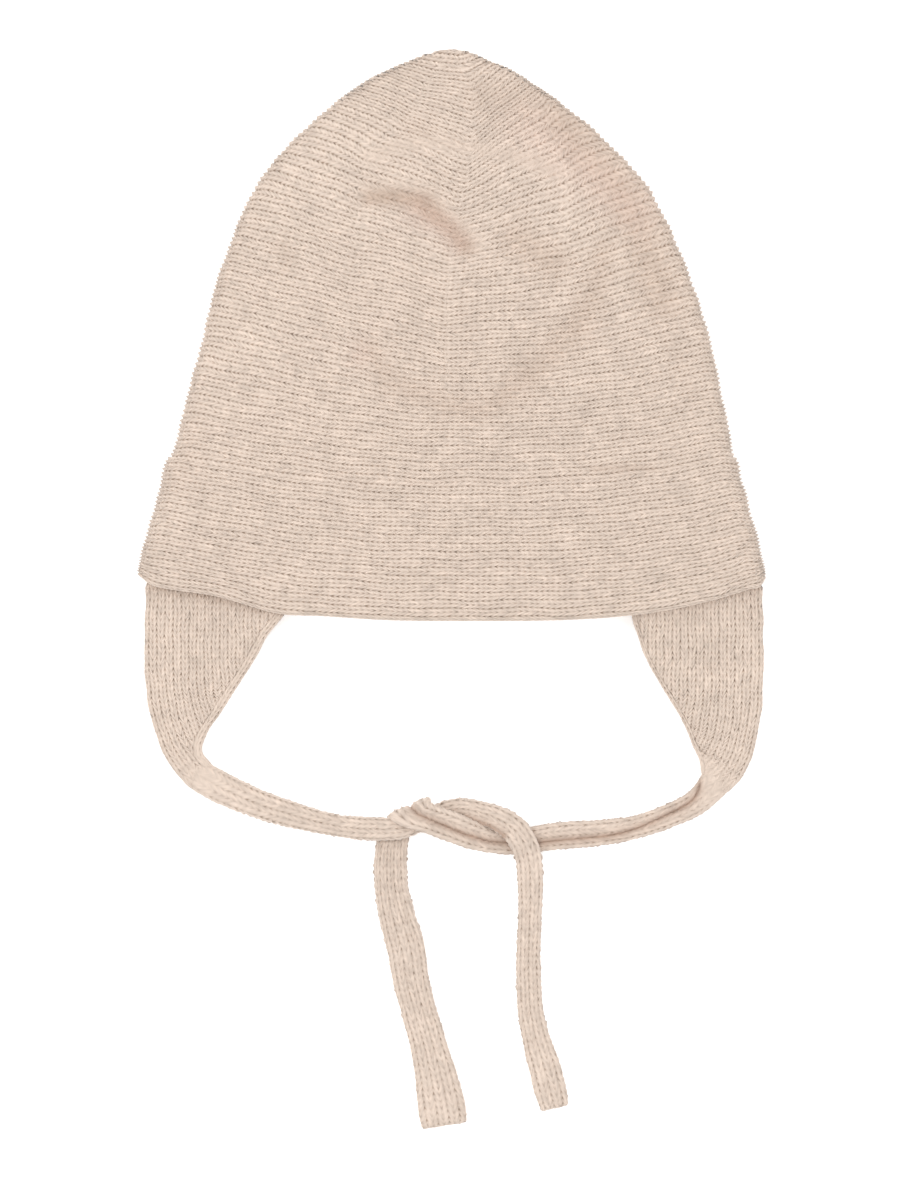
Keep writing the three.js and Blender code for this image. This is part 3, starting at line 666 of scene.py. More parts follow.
def add_hem_turn(skin, surface, first, count):
    """The hem's rounded edge: the knit turns under and comes out on the inside. Gives its last line."""
    radius = BAND_WALL / 2
    c = np.arange(count * QUARTERS) / QUARTERS
    last_ids, last_b = by_leg(first, count), 0.0
    steps = int(round(math.pi * radius / HALF_WALE / ROW_STEP))
    for step in range(1, steps + 1):
        b = -step * ROW_STEP
        shear = shear_of(b)
        a = np.mod(c + shear, count)
        point, normal = surface.at(0, a / count * surface.length[0])
        above, _ = surface.at(2, a / count * surface.length[2])
        down = point - above
        down[:, 2] = 0
        down /= np.linalg.norm(down, axis=1, keepdims=True)
        angle = math.pi * step / steps
        depth = radius + relief(b, c) * (1 + 0.2 * rng.standard_normal(len(c)))
        place = (point - normal * radius + normal * (math.cos(angle) * depth)[:, None]
                 + down * (math.sin(angle) * depth)[:, None])
        place[:, 2] = np.maximum(place[:, 2], 0.0)
        ids = skin.add(place)
        a0, a1 = np.mod(c + shear_of(last_b), count), np.mod(c + shear, count)
        tris, cnts = ring_faces(last_ids, ids, a0, a1, last_b, b, count)
        skin.faces_from(tris[:, ::-1], cnts[:, ::-1], 2)
        last_ids, last_b = ids, b
    a = np.mod(c + shear_of(last_b), count)
    order = np.argsort(a)
    keys = np.r_[a[order], a[order][0] + count]
    return np.r_[last_ids[order], last_ids[order][0]], keys, uv_of(keys, last_b)


def add_lining(skin, surface, count, band_top, previous):
    """The inner face, from the hem's turn up: plain, and coarser than the outside."""
    columns = 88
    at = np.arange(columns) / columns * count
    keys = np.r_[at, count]
    top = len(surface.heights)
    for line in (4, *range(10, band_top - 2, 8), band_top, *range(band_top + 4, top - 4, 6), top - 2):
        wall = BAND_WALL if line < band_top else WALL
        point, normal = surface.at(line, at / count * surface.length[line])
        inside = point - normal * wall
        narrow = min(1.0, surface.length[line] / 30)
        centre = inside.mean(0)
        inside = centre + (inside - centre) * lerp(0.6, 1, narrow)
        inside[:, 2] = np.maximum(inside[:, 2], 0.8)
        ids = skin.add(inside)
        uv = uv_of(keys, line * ROW_STEP)
        uv[:, 1] = LINING_MAP[0] + uv[:, 1] * LINING_MAP[1]
        row = (np.r_[ids, ids[0]], keys, uv)
        skin.zip(row, previous, 2 if line <= band_top else 0)
        previous = row
    tip = skin.add([inside.mean(0) + [0, 1.0, 0]])[0]
    tris = np.c_[np.roll(ids, -1), ids, np.full(columns, tip)]
    skin.faces_from(tris, np.stack([row[2][:-1]] * 3, 1), 0)


# Earflaps

FLAPS = {
    # The inner edge inside the band, then outer and inner edge (shares of half the hem) with their drops.
    "left": ((0.555, 0.537, 0.528), (
        (0.973, 0.58, 0.06, 0.11), (0.976, 0.627, 0.21, 0.24), (0.976, 0.681, 0.375, 0.38),
        (0.968, 0.741, 0.54, 0.53), (0.943, 0.784, 0.685, 0.65), (0.905, 0.794, 0.795, 0.717),
        (0.832, 0.757, 0.91, 0.771))),
    "right": ((0.6, 0.585, 0.57), (
        (0.99, 0.595, 0.05, 0.14), (0.992, 0.627, 0.21, 0.26), (0.992, 0.671, 0.385, 0.385),
        (0.987, 0.719, 0.575, 0.507), (0.967, 0.757, 0.75, 0.64), (0.927, 0.788, 0.88, 0.753),
        (0.87, 0.791, 0.95, 0.82))),
}
FLAP_COURSE = 1.8
FLAP_HALF_WALE = 1.23
# The border that runs along a flap's free edge: its width and its half wales.
BORDERS = {"left": (2.7, 2), "right": (1.4, 1)}
EDGE_RADIUS = 0.7
FLAP_REACH = 47.0  # how far the flap's lines go from its fold
TIP_DIVE = 0.6  # how far a flap's tip sinks into its tie
# How high a flap lies and how much room it has, by its drop below the hem.
FLAP_DROPS = (-0.2, 0, 0.08, 0.22, 0.38, 0.54, 1)
FLAP_LIFT = (1, 1, 0.5, 0.12, 0, 0, 0)
FLAP_ROOM = (1, 1, 0.6, 0.22, 0.05, 0, 0)
# The map's rows for the strips of a flap's border, by face, and for its inside.
STRIP_ROWS = {1: 80.0, -1: 90.0}
INSIDE_ROW = 102
INSIDE_DEPTH = 1.4  # the inner face's distance from the outer one


def hem_y(u):
    share = np.minimum(np.abs(u) / (HALF - BAND_FOLD / 2), 1)
    return (HEM_SAG - HEM_CORNER) * share ** 2.5


def flap_edges(side):
    """Outer and inner edge of a flap in plan, each a dense line of points (outwards, y)."""
    name = "left" if side < 0 else "right"
    tucked, rows = FLAPS[name]
    outer, inner = [], []
    for up, share in zip((FLAP_TUCK, FLAP_TUCK / 2, 0), tucked):
        u = rows[0][0] * HALF
        outer.append((u, float(hem_y(u)) + up * 2))
        inner.append((share * HALF, float(hem_y(share * HALF)) + up))
    for out, inn, drop_o, drop_i in rows:
        outer.append((out * HALF, float(hem_y(out * HALF)) - drop_o * FLAP_DROP))
        inner.append((inn * HALF, float(hem_y(inn * HALF)) - drop_i * FLAP_DROP))
    place = np.linspace(0, len(outer) - 1, 400)
    lines = []
    for points in (outer, inner):
        points = np.array(points)
        lines.append(np.c_[smooth(points[:, 0], place), smooth(points[:, 1], place)])
    return lines


def even_line(points):
    """The same line with points at even distances."""
    arc = arc_of(points)
    at = np.arange(0, arc[-1], LINE_STEP)
    return resample(points, arc, at), at


def sideways(points, turn):
    """Unit normals in plan of a line of points."""
    along = np.gradient(points, axis=0)
    return unit(np.c_[-along[:, 1], along[:, 0]] * turn)


def edge_distance(plan, rim, outwards):
    """How far each place lies inside a free edge. Places past the edge are negative."""
    best = np.full(plan.shape[:2], 99.0)
    side = np.ones(plan.shape[:2])
    for point, normal in zip(rim[::2], outwards[::2]):
        away = plan - point
        dist = np.hypot(away[..., 0], away[..., 1])
        nearer = dist < best
        best = np.where(nearer, dist, best)
        side = np.where(nearer, np.sign(away @ normal), side)
    return best * side


def flap_z(u, y):
    """Heights of a flap's two faces over a place of the plan."""
    q = (hem_y(u) - y) / FLAP_DROP
    lift = monotone(FLAP_DROPS, FLAP_LIFT, q)
    room = monotone(FLAP_DROPS, FLAP_ROOM, q)
    share = np.minimum(np.abs(u) / (HALF - BAND_FOLD / 2), 1)
    low = lift * (BAND_WALL + GAP)
    return low, low + FLAP_FOLD + room * (MOUTH_THICK - BAND_FOLD) * (1 - share ** 2) ** FRONT_BOW


def lay_lines(skin, grid, at, starts, stops, b_start, depth, sink):
    """Stitches over a grid of lines by places along them, each from its start to its stop."""
    along = np.gradient(grid, axis=1)
    across = np.gradient(grid, axis=0)
    normals = unit(np.cross(along, across))
    rows = []
    for k in range(len(grid)):
        b = b_start + k * ROW_STEP
        shear = shear_of(b)
        begin, end = starts[k] / FLAP_COURSE, stops[k] / FLAP_COURSE
        if end < begin + 1:
            rows.append(None)
            continue
        first = math.ceil((begin - shear) * QUARTERS + 0.3)
        last = math.floor((end - shear) * QUARTERS - 0.3)
        a = np.r_[begin, np.arange(first, last + 1) / QUARTERS + shear, end]
        arc = a * FLAP_COURSE
        point = resample(grid[k], at, arc)
        normal = unit(resample(normals[k], at, arc))
        h = relief(b, a - shear) * depth * (1 + 0.35 * rng.standard_normal(len(a)))
        to_tip = at[-1] - arc
        plain = np.exp(-(to_tip / 8) ** 2)
        h *= 1 - 0.65 * plain
        h = np.minimum(h, 0.03) - np.interp(arc, at, sink[k])
        h -= TIP_DIVE * np.clip(1 - to_tip / 3, 0, 1) ** 2
        point = point + normal * h[:, None]
        point[:, :2] += wobble(point) * 0.8
        point[:, 2] = np.maximum(point[:, 2], 0.0)
        # Painted shade on the flap just under the hem's edge.
        below_hem = np.maximum(hem_y(point[:, 0]) - point[:, 1], 0)
        shade = 0.35 * np.exp(-below_hem / 3)
        rows.append((skin.add(point, np.c_[shade, plain, 0 * plain]), a - shear, uv_of(a, b)))
    for low, high in zip(rows, rows[1:]):
        if low is not None and high is not None:
            skin.zip(low, high, 0)
    return rows


def make_flap(side):
    name = "left" if side < 0 else "right"
    border, border_lines = BORDERS[name]
    outer, inner = flap_edges(side)
    skin = Skin()
    edge, at = even_line(outer)
    towards = sideways(edge, -1)  # from the outer edge to the inner one
    radius = FLAP_FOLD / 2
    half_lines = int(FLAP_REACH / (FLAP_HALF_WALE * ROW_STEP)) // 4 * 4
    w = np.arange(half_lines, -half_lines - 1, -1) * FLAP_HALF_WALE * ROW_STEP
    angle = np.clip(np.abs(w) / radius, 0, math.pi / 2)
    d = radius * (1 - np.cos(angle)) + np.maximum(np.abs(w) - radius * math.pi / 2, 0)
    plan = edge[None] + towards[None] * d[:, None, None]
    up = plan[..., 1] - hem_y(plan[..., 0])
    # Inside the band the fold keeps clear of the band's own side.
    free = shell(name, HEM_SAG + np.maximum(up, 0)) * HALF - BAND_WALL - GAP
    squeeze = np.clip((up - 0.3) / 1.9, 0, 1)
    squeeze = squeeze * squeeze * (3 - 2 * squeeze) * np.clip(1 - d / 20, 0, 1)[:, None]
    plan[..., 0] -= np.maximum(edge[0, 0] - free, 0) * squeeze
    low, top = flap_z(plan[..., 0], plan[..., 1])
    mid, half = (low + top) / 2, (top - low) / 2
    z = mid + np.sign(w)[:, None] * half * np.sin(angle)[:, None]
    grid = np.dstack([plan, z])
    rim, rim_at = even_line(inner)
    outwards = sideways(rim, 1)
    dist = edge_distance(plan, rim, outwards)
    kept = (dist > border + 0.15) & (up < FLAP_TUCK)
    first = np.argmax(kept, axis=1)
    past = ~kept & (np.arange(len(at)) > first[:, None])
    starts = np.where(kept.any(axis=1), at[first], at[-1])
    stops = np.where(past.any(axis=1), at[np.argmax(past, axis=1)], at[-1])
    tucked = up[np.arange(len(w)), np.maximum(first - 1, 0)] >= FLAP_TUCK
    reaching = stops == at[-1]
    sink = 0.1 * np.clip((border + 0.9 - dist) / 0.6, 0, 1)
    main = lay_lines(skin, grid, at, starts, stops, 0.0, 1.0, sink)
    wale = (border - EDGE_RADIUS) / border_lines
    turn_lines = 4
    strips = []
    for face in (1, -1):
        lines, sink = [], []
        for k in range(2 * border_lines + turn_lines + 1):
            e = border - k * ROW_STEP * wale
            turn = max(k - 2 * border_lines, 0) / turn_lines * math.pi
            e = max(e, EDGE_RADIUS) - EDGE_RADIUS * math.sin(turn)
            spot = rim + outwards * e
            low, top = flap_z(spot[:, 0], spot[:, 1])
            level = top if face > 0 else low
            lines.append(np.c_[spot, level - face * EDGE_RADIUS * (1 - math.cos(turn))])
            sink.append(np.full(len(spot), 0.1 if k == 0 else 0.0))
        lines, sink = np.array(lines)[::-face], np.array(sink)[::-face]
        none, full = np.zeros(len(lines)), np.full(len(lines), rim_at[-1])
        strips.append(lay_lines(skin, lines, rim_at, none, full, STRIP_ROWS[face], 0.6, sink))
    upper, lower = strips
    # The stitches' cut edges, each from the band to the tip, joined to the border's strips.
    live = [k for k in range(len(main)) if main[k] is not None]
    upper_row = STRIP_ROWS[1] + len(upper) * ROW_STEP
    lower_row = STRIP_ROWS[-1] - ROW_STEP
    for order, strip, b in ((live, upper[-1], upper_row), (live[::-1], lower[0], lower_row)):
        inward = next(i for i, k in enumerate(order) if tucked[k])
        arrive = next(i for i, k in enumerate(order) if reaching[k])
        ids = [main[k][0][0] for k in order[inward:0:-1]] + list(main[order[0]][0])
        ids += [main[k][0][-1] for k in order[1:arrive + 1]]
        place = np.vstack(skin.points)[ids][:, None, :2]
        nearest = np.argmin(np.linalg.norm(place - rim[None], axis=2), axis=1)
        keys = np.maximum.accumulate(rim_at[nearest]) / FLAP_COURSE
        cut = (np.array(ids), keys, uv_of(keys, b))
        skin.zip(*((strip, cut) if strip is upper[-1] else (cut, strip)), 0)
    # The plain inner faces, from the lower half's free edge to the fold and back to the upper one's.
    place = np.linspace(0, 1, 24)
    out_line = resample(edge, at / at[-1], place)
    out_line[:, 0] -= np.maximum(out_line[:, 1] - hem_y(out_line[:, 0]), 0) * 0.3
    in_line = resample(rim, rim_at / rim_at[-1], place)
    out_line[:, 1] = np.minimum(out_line[:, 1], hem_y(out_line[:, 0]) + FLAP_TUCK - 0.5)
    previous = lower[-1]
    keys = place * rim_at[-1] / FLAP_COURSE
    ends = []
    for face in (-1, 1):
        for s in np.linspace(0.12, 0.94, 7)[::-face]:
            spot = lerp(in_line, out_line, s)
            low, top = flap_z(spot[:, 0], spot[:, 1])
            z = (low + INSIDE_DEPTH) if face < 0 else (top - INSIDE_DEPTH)
            row = (skin.add(np.c_[spot, z]), keys, uv_of(keys, INSIDE_ROW + face * (1 + s)))
            ends.append(row)
            skin.zip(previous, row, 0)
            previous = row
    skin.zip(previous, upper[0], 0)
    for end, kept in ((0, tucked), (-1, reaching)):
        outside = upper + [main[k] for k in live if kept[k]] + lower
        skin.cap([row[0][end] for row in outside[::-1]], [row[0][end] for row in ends], end == 0)
    if side < 0:
        skin.mirror()
    return skin.build(["earflap_%s_knit" % name])[0]


def unfolded(side):
    """Width, length and area of a flap's sheet before it was folded, in metres."""
    x, y = np.vstack([edge[::step] for edge, step in zip(flap_edges(side), (1, -1))]).T
    y = np.minimum(y, hem_y(x) + FLAP_TUCK)
    area = abs(x @ np.roll(y, -1) - y @ np.roll(x, -1)) * MM * MM
    return (2 * np.ptp(x) * MM, np.ptp(y) * MM), area


# Ties

STRAPS = {
    "left": ((0, 0, 1.28), (0.073, 0.2, 1.22), (0.152, 0.39, 1.1), (0.239, 0.585, 1.05),
             (0.329, 0.745, 0.98), (0.428, 0.89, 0.87), (0.527, 1.01, 0.79), (0.59, 1.06, 0.8)),
    "right": ((0, 0, 1.2), (0.05, 0.41, 0.96), (0.129, 0.67, 0.88), (0.21, 0.877, 0.83),
              (0.287, 1.05, 0.83), (0.383, 1.17, 0.88), (0.48, 1.22, 0.95), (0.576, 1.26, 1)),
}
KNOTS = {
    "left": ((-3.4, -0.155, 0.4, 0.84), (-2.85, -0.155, 1, 0.84), (-2.2, -0.12, 1.02, 0.8),
             (-1.67, 0, 1, 0.7), (-1.09, 0.23, 0.5, 0.62), (-0.5, 0.52, 0, 0.66), (0.19, 0.64, 0, 0.74),
             (0.97, 0.5, 0.35, 0.82), (1.74, 0.23, 0.95, 0.92), (2.36, -0.2, 1.1, 1),
             (2.75, -0.78, 1.1, 0.98), (2.9, -1.4, 0.7, 0.96)),
    "right": ((3.49, -0.5, 0, 1, 268), (2.52, -0.64, 0, 0.96, 268), (1.55, -0.62, 0, 0.94, 260),
              (0.66, -0.38, 0.45, 1.08, 250), (-0.19, -0.04, 1, 1.14, 245), (-0.95, 0.25, 1.55, 1.15, 238),
              (-1.42, 0.42, 2.02, 1.35, 224), (-1.64, 0.56, 1.9, 1.62, 211), (-1.78, 0.66, 1, 1.8, 204),
              (-1.82, 0.47, 0.1, 1.6, 201), (-2.05, 0.16, 0, 1.25, 192), (-2.33, -0.3, 0, 1.12, 184),
              (-2.47, -0.8, 0, 1.18, 180)),
}
ENDS = {
    "left": ((0.004, 0.078, 0.95), (0.002, 0.194, 0.85), (-0.004, 0.318, 0.88), (-0.002, 0.442, 0.9),
             (0.004, 0.537, 0.93), (0.021, 0.622, 1), (0.053, 0.728, 1.2), (0.076, 0.82, 1.22),
             (0.09, 0.875, 1.1), (0.094, 0.893, 0.85)),
    "right": ((-0.005, 0.088, 1.2), (0.003, 0.177, 1.25), (0.021, 0.262, 1.36), (0.05, 0.353, 1.45),
              (0.07, 0.488, 1.36), (0.106, 0.618, 1.33), (0.141, 0.746, 1.43), (0.166, 0.859, 1.7),
              (0.184, 0.968, 1.85), (0.19, 1.01, 1.6)),
}
# Folds along a tie's upper face: the stations it runs between, its place across at both ends (1 is the
# right tie's outer edge and the left tie's inner one) and its depth in millimetres.
TIE_FOLDS = {
    "left": ((13.3, 16.9, -0.93, -0.93, 0),),
    "right": ((0.15, 1.05, -0.95, -0.35, 1.5), (1.05, 3.3, -0.35, -0.05, 1.5), (3.3, 5, -0.05, 0.3, 1.5),
              (5, 8.6, 0.3, 0.36, 1.5), (8.6, 11.5, -0.04, 0.15, 1.5), (11.5, 13.5, 0.15, -0.02, 1.5),
              (13.5, 17.2, -0.02, -0.1, 1.5)),
}
TIE_FOLD_WIDTH = 0.95
# How much painted shade a tie's fold gets.
TIE_FOLD_PAINTED_SHADE = 1.9
TIE_COURSE = 2.0
TIE_STEP = 0.25  # half wales between two lines of points
TIE_WOBBLE = 0.35
TIE_REACH = 5.0  # how far a tie starts inside its flap
TIE_RAG = 0.42  # how many stitches its cut end is ragged by
TIE_LINES = {"left": 14, "right": 18}  # half wales round a tie
TIE_TOP = {"left": (0.4, 0.5), "right": (0.36, 0.5)}  # share of them on top: in the strap, at the end
KNOT_ACROSS = 0.011
SECTION_POINTS = 121
START_POINTS = 12  # places of the stretch inside the flap
TURN_WINDOW = 57  # places over which a loose strip's turns are evened out


def flap_tip(side):
    outer, inner = flap_edges(side)
    o = outer[-1] * (side, 1)
    i = inner[-1] * (side, 1)
    across = (i - o) * -side
    forward = np.array([across[1], -across[0]])
    turn = math.degrees(math.atan2(across[1], across[0])) % 360
    return (o + i) / 2, forward / np.linalg.norm(forward), turn


def tie_path(side, knot):
    """Stations of a tie: x, y, layer, width, thickness and the direction of its width."""
    name = "left" if side < 0 else "right"
    middle, forward, turn = flap_tip(side)
    start = middle + forward * GAP
    rows = []
    for along, drop, width in STRAPS[name]:
        rows.append([lerp(start[0], knot[0], along), lerp(start[1], knot[1], drop), 0,
                     width * TIE_WIDTH, TIE_THICK, None])
    rows[0][5] = turn
    for row in KNOTS[name]:
        rows.append([knot[0] + row[0] * TIE_WIDTH, knot[1] + row[1] * TIE_WIDTH, row[2],
                     row[3] * TIE_WIDTH, KNOT_THICK, row[4] if len(row) > 4 else None])
    x, y = rows[-1][:2]
    for across, down, width in ENDS[name]:
        rows.append([x + across * TIE_END, y - down * TIE_END, 0, width * TIE_WIDTH, TIE_THICK, None])
    before = 0.0
    for i, row in enumerate(rows):
        a, b = rows[max(i - 1, 0)], rows[min(i + 1, len(rows) - 1)]
        square = row[5]
        if square is None:
            square = math.degrees(math.atan2(b[1] - a[1], b[0] - a[0])) + 90
            before = square + 180 * (round((before - square) / 180) if i else 0)
        else:
            before = square
        row[5] = before
    return np.array(rows, float), forward


def section(width, thick):
    """A tie's rounded cross section, from the middle of its top all the way round."""
    t = np.linspace(0, 2 * math.pi, SECTION_POINTS)
    x, z = np.sin(t), np.cos(t)
    x = np.sign(x) * np.abs(x) ** 0.8
    z = np.sign(z) * np.abs(z) ** 0.95
    return x * width / 2, z * thick / 2


def rounded(t):
    """A quarter circle that rises from 0 to 1."""
    return np.sqrt(np.clip(1 - (1 - t) ** 2, 0, 1))


def tie_grid(side, knot):
    """A tie's lines of places round its skin, how much painted shade each place has, and the distances
    along it.
    """
    name = "left" if side < 0 else "right"
    stations, forward = tie_path(side, knot)
    place = np.linspace(0, len(stations) - 1, 1200)
    x, y, layer, width, thick, turn = (smooth(stations[:, k], place) for k in range(6))
    z = thick / 2 + np.maximum(layer, 0) * (KNOT_THICK + GAP)
    centre = np.c_[x, y, z]
    # The start reaches a little way into the earflap's end.
    reach = np.linspace(TIE_REACH, 0.1, START_POINTS)[:, None]
    centre = np.vstack([centre[0] - np.r_[forward, 0] * reach, centre])
    width, thick, turn = (np.r_[np.full(START_POINTS, v[0]), v] for v in (width, thick, turn))
    arc = arc_of(centre)
    at = np.arange(0, arc[-1], LINE_STEP)
    line = resample(np.c_[centre, width, thick, turn], arc, at)
    # Away from the knot the strip takes no sharp turns.
    window = np.hanning(TURN_WINDOW)
    window /= window.sum()
    padded = [np.pad(line[:, k], TURN_WINDOW // 2, "edge") for k in range(6)]
    even = np.c_[tuple(np.convolve(column, window, "valid") for column in padded)]
    loose = np.clip((np.hypot(*(line[:, :2] - knot).T) - 19) / 5, 0, 1)[:, None]
    line = lerp(line, even, loose)
    centre, width, thick, turn = line[:, :3], line[:, 3], line[:, 4], np.radians(line[:, 5])
    length = at[-1]
    # Rounded ends: the start is pinched into the flap, the end is bound off.
    pinch = rounded(np.clip(at / (0.85 * TIE_REACH), 0, 1)) * 0.45 + 0.55
    close = rounded(np.clip((length - at) / 1.6, 0, 1))
    width = width * pinch - 0.9 * (1 - close)
    thick = thick * pinch * (0.25 + 0.75 * close)
    along = np.gradient(centre, axis=0)
    across = np.c_[np.cos(turn), np.sin(turn), np.zeros(len(turn))]
    up = unit(np.cross(along, across))
    lines = int(TIE_LINES[name] / TIE_STEP)
    grid = np.zeros((lines + 1, len(at), 3))
    painted_shade = np.zeros((lines + 1, len(at)))
    open_end = np.clip((at - length * 0.45) / (length * 0.3), 0, 1)
    top_share = lerp(*TIE_TOP[name], open_end)
    spot = np.interp(at, arc, np.r_[np.zeros(START_POINTS), place])
    j = np.arange(lines + 1) / lines
    for i in range(len(at)):
        sx, sz = section(width[i], thick[i])
        ring_arc = np.r_[0, np.cumsum(np.hypot(np.diff(sx), np.diff(sz)))]
        ring_arc /= ring_arc[-1]
        half_top = top_share[i] / 2
        v = np.interp(j, (0, half_top, 1 - half_top, 1), (0, 0.25, 0.75, 1))
        px, pz = np.interp(v, ring_arc, sx), np.interp(v, ring_arc, sz)
        for first, last, begin, finish, depth in TIE_FOLDS[name]:
            if first <= spot[i] < last:
                across_at = lerp(begin, finish, (spot[i] - first) / (last - first)) * width[i] / 2
                near = np.exp(-np.abs(px - across_at) / TIE_FOLD_WIDTH) * (pz > 0)
                ease = min(1, (spot[i] - TIE_FOLDS[name][0][0]) / 0.4 + 0.2)
                pz = pz - depth * near * ease
                painted_shade[:, i] = np.maximum(painted_shade[:, i], TIE_FOLD_PAINTED_SHADE * near * ease)
        grid[:, i] = centre[i] + px[:, None] * across[i] + pz[:, None] * up[i]
    return grid, painted_shade, at


def make_tie(side, knot):
    name = "left" if side < 0 else "right"
    grid, painted_shade, at = tie_grid(side, knot)
    lines, length = len(grid) - 1, at[-1]
    skin = Skin()
    along = np.gradient(grid, axis=1)
    around = np.roll(grid[:-1], -1, axis=0) - np.roll(grid[:-1], 1, axis=0)
    around = np.vstack([around, around[:1]])
    normals = unit(np.cross(around, along))
    stitches = int(length / TIE_COURSE)
    course = length / stitches
    rows = []
    ragged = np.repeat(rng.uniform(0, TIE_RAG, lines // 3 + 1), 3)
    for k in range(lines):
        b = k * TIE_STEP
        shear = shear_of(b)
        first = math.ceil(-shear * QUARTERS + 0.3)
        last = math.floor((stitches - ragged[k] - shear) * QUARTERS - 0.3)
        inner = np.arange(first, last + 1) / QUARTERS + shear
        a = np.r_[0, inner, stitches - ragged[k]]
        point = resample(grid[k], at, a * course)
        normal = resample(normals[k], at, a * course)
        h = relief(b, a - shear) * 0.85 * (1 + 0.4 * rng.standard_normal(len(a)))
        plain = np.exp(-(np.maximum(a * course - TIE_REACH, 0) / 7) ** 2)
        h *= 1 - 0.6 * plain
        h[[0, -1]] = -0.1
        point = point + normal * np.minimum(h, 0.03)[:, None]
        point[:, :2] += wobble(point) * lerp(TIE_WOBBLE, 0.8, plain)[:, None]
        point[:, 2] = np.maximum(point[:, 2], 0.0)
        # Painted shade in the tie's folds, which also tints them pink.
        shade = np.interp(a * course, at, painted_shade[k])
        rows.append((skin.add(point, np.c_[shade, plain, shade * 0.4]), a - shear, uv_of(a, b), a, b))
    for k in range(lines):
        low, high = rows[k], rows[(k + 1) % lines]
        high_uv = uv_of(high[3], low[4] + TIE_STEP)
        skin.zip(low[:3], (high[0], high[1], high_uv), 0)
    for end, flip in ((0, False), (-1, True)):
        ids = np.array([r[0][end] for r in rows])
        middle = skin.add(np.vstack(skin.points)[ids].mean(0))[0]
        nxt = np.roll(ids, -1)
        tris = np.c_[ids, nxt, np.full(len(ids), middle)]
        uv = np.array([r[2][end] for r in rows])
        skin.faces_from(tris[:, ::-1] if flip else tris, np.stack([uv, uv, uv], 1), 0)
    skin.turn_out()
    return skin.build(["tie_%s_knit" % name])[0]


# Colours of the yarn: in the light, painted shade in the gaps between stitches, painted shade in a crease,
# and where it turns pink.
YARN = (0.697, 0.577, 0.489, 1)
PAINTED_GAP_SHADE = (0.355, 0.262, 0.2, 1)
PAINTED_CREASE_SHADE = (0.4, 0.275, 0.2, 1)
YARN_PINK = (0.714, 0.482, 0.404, 1)


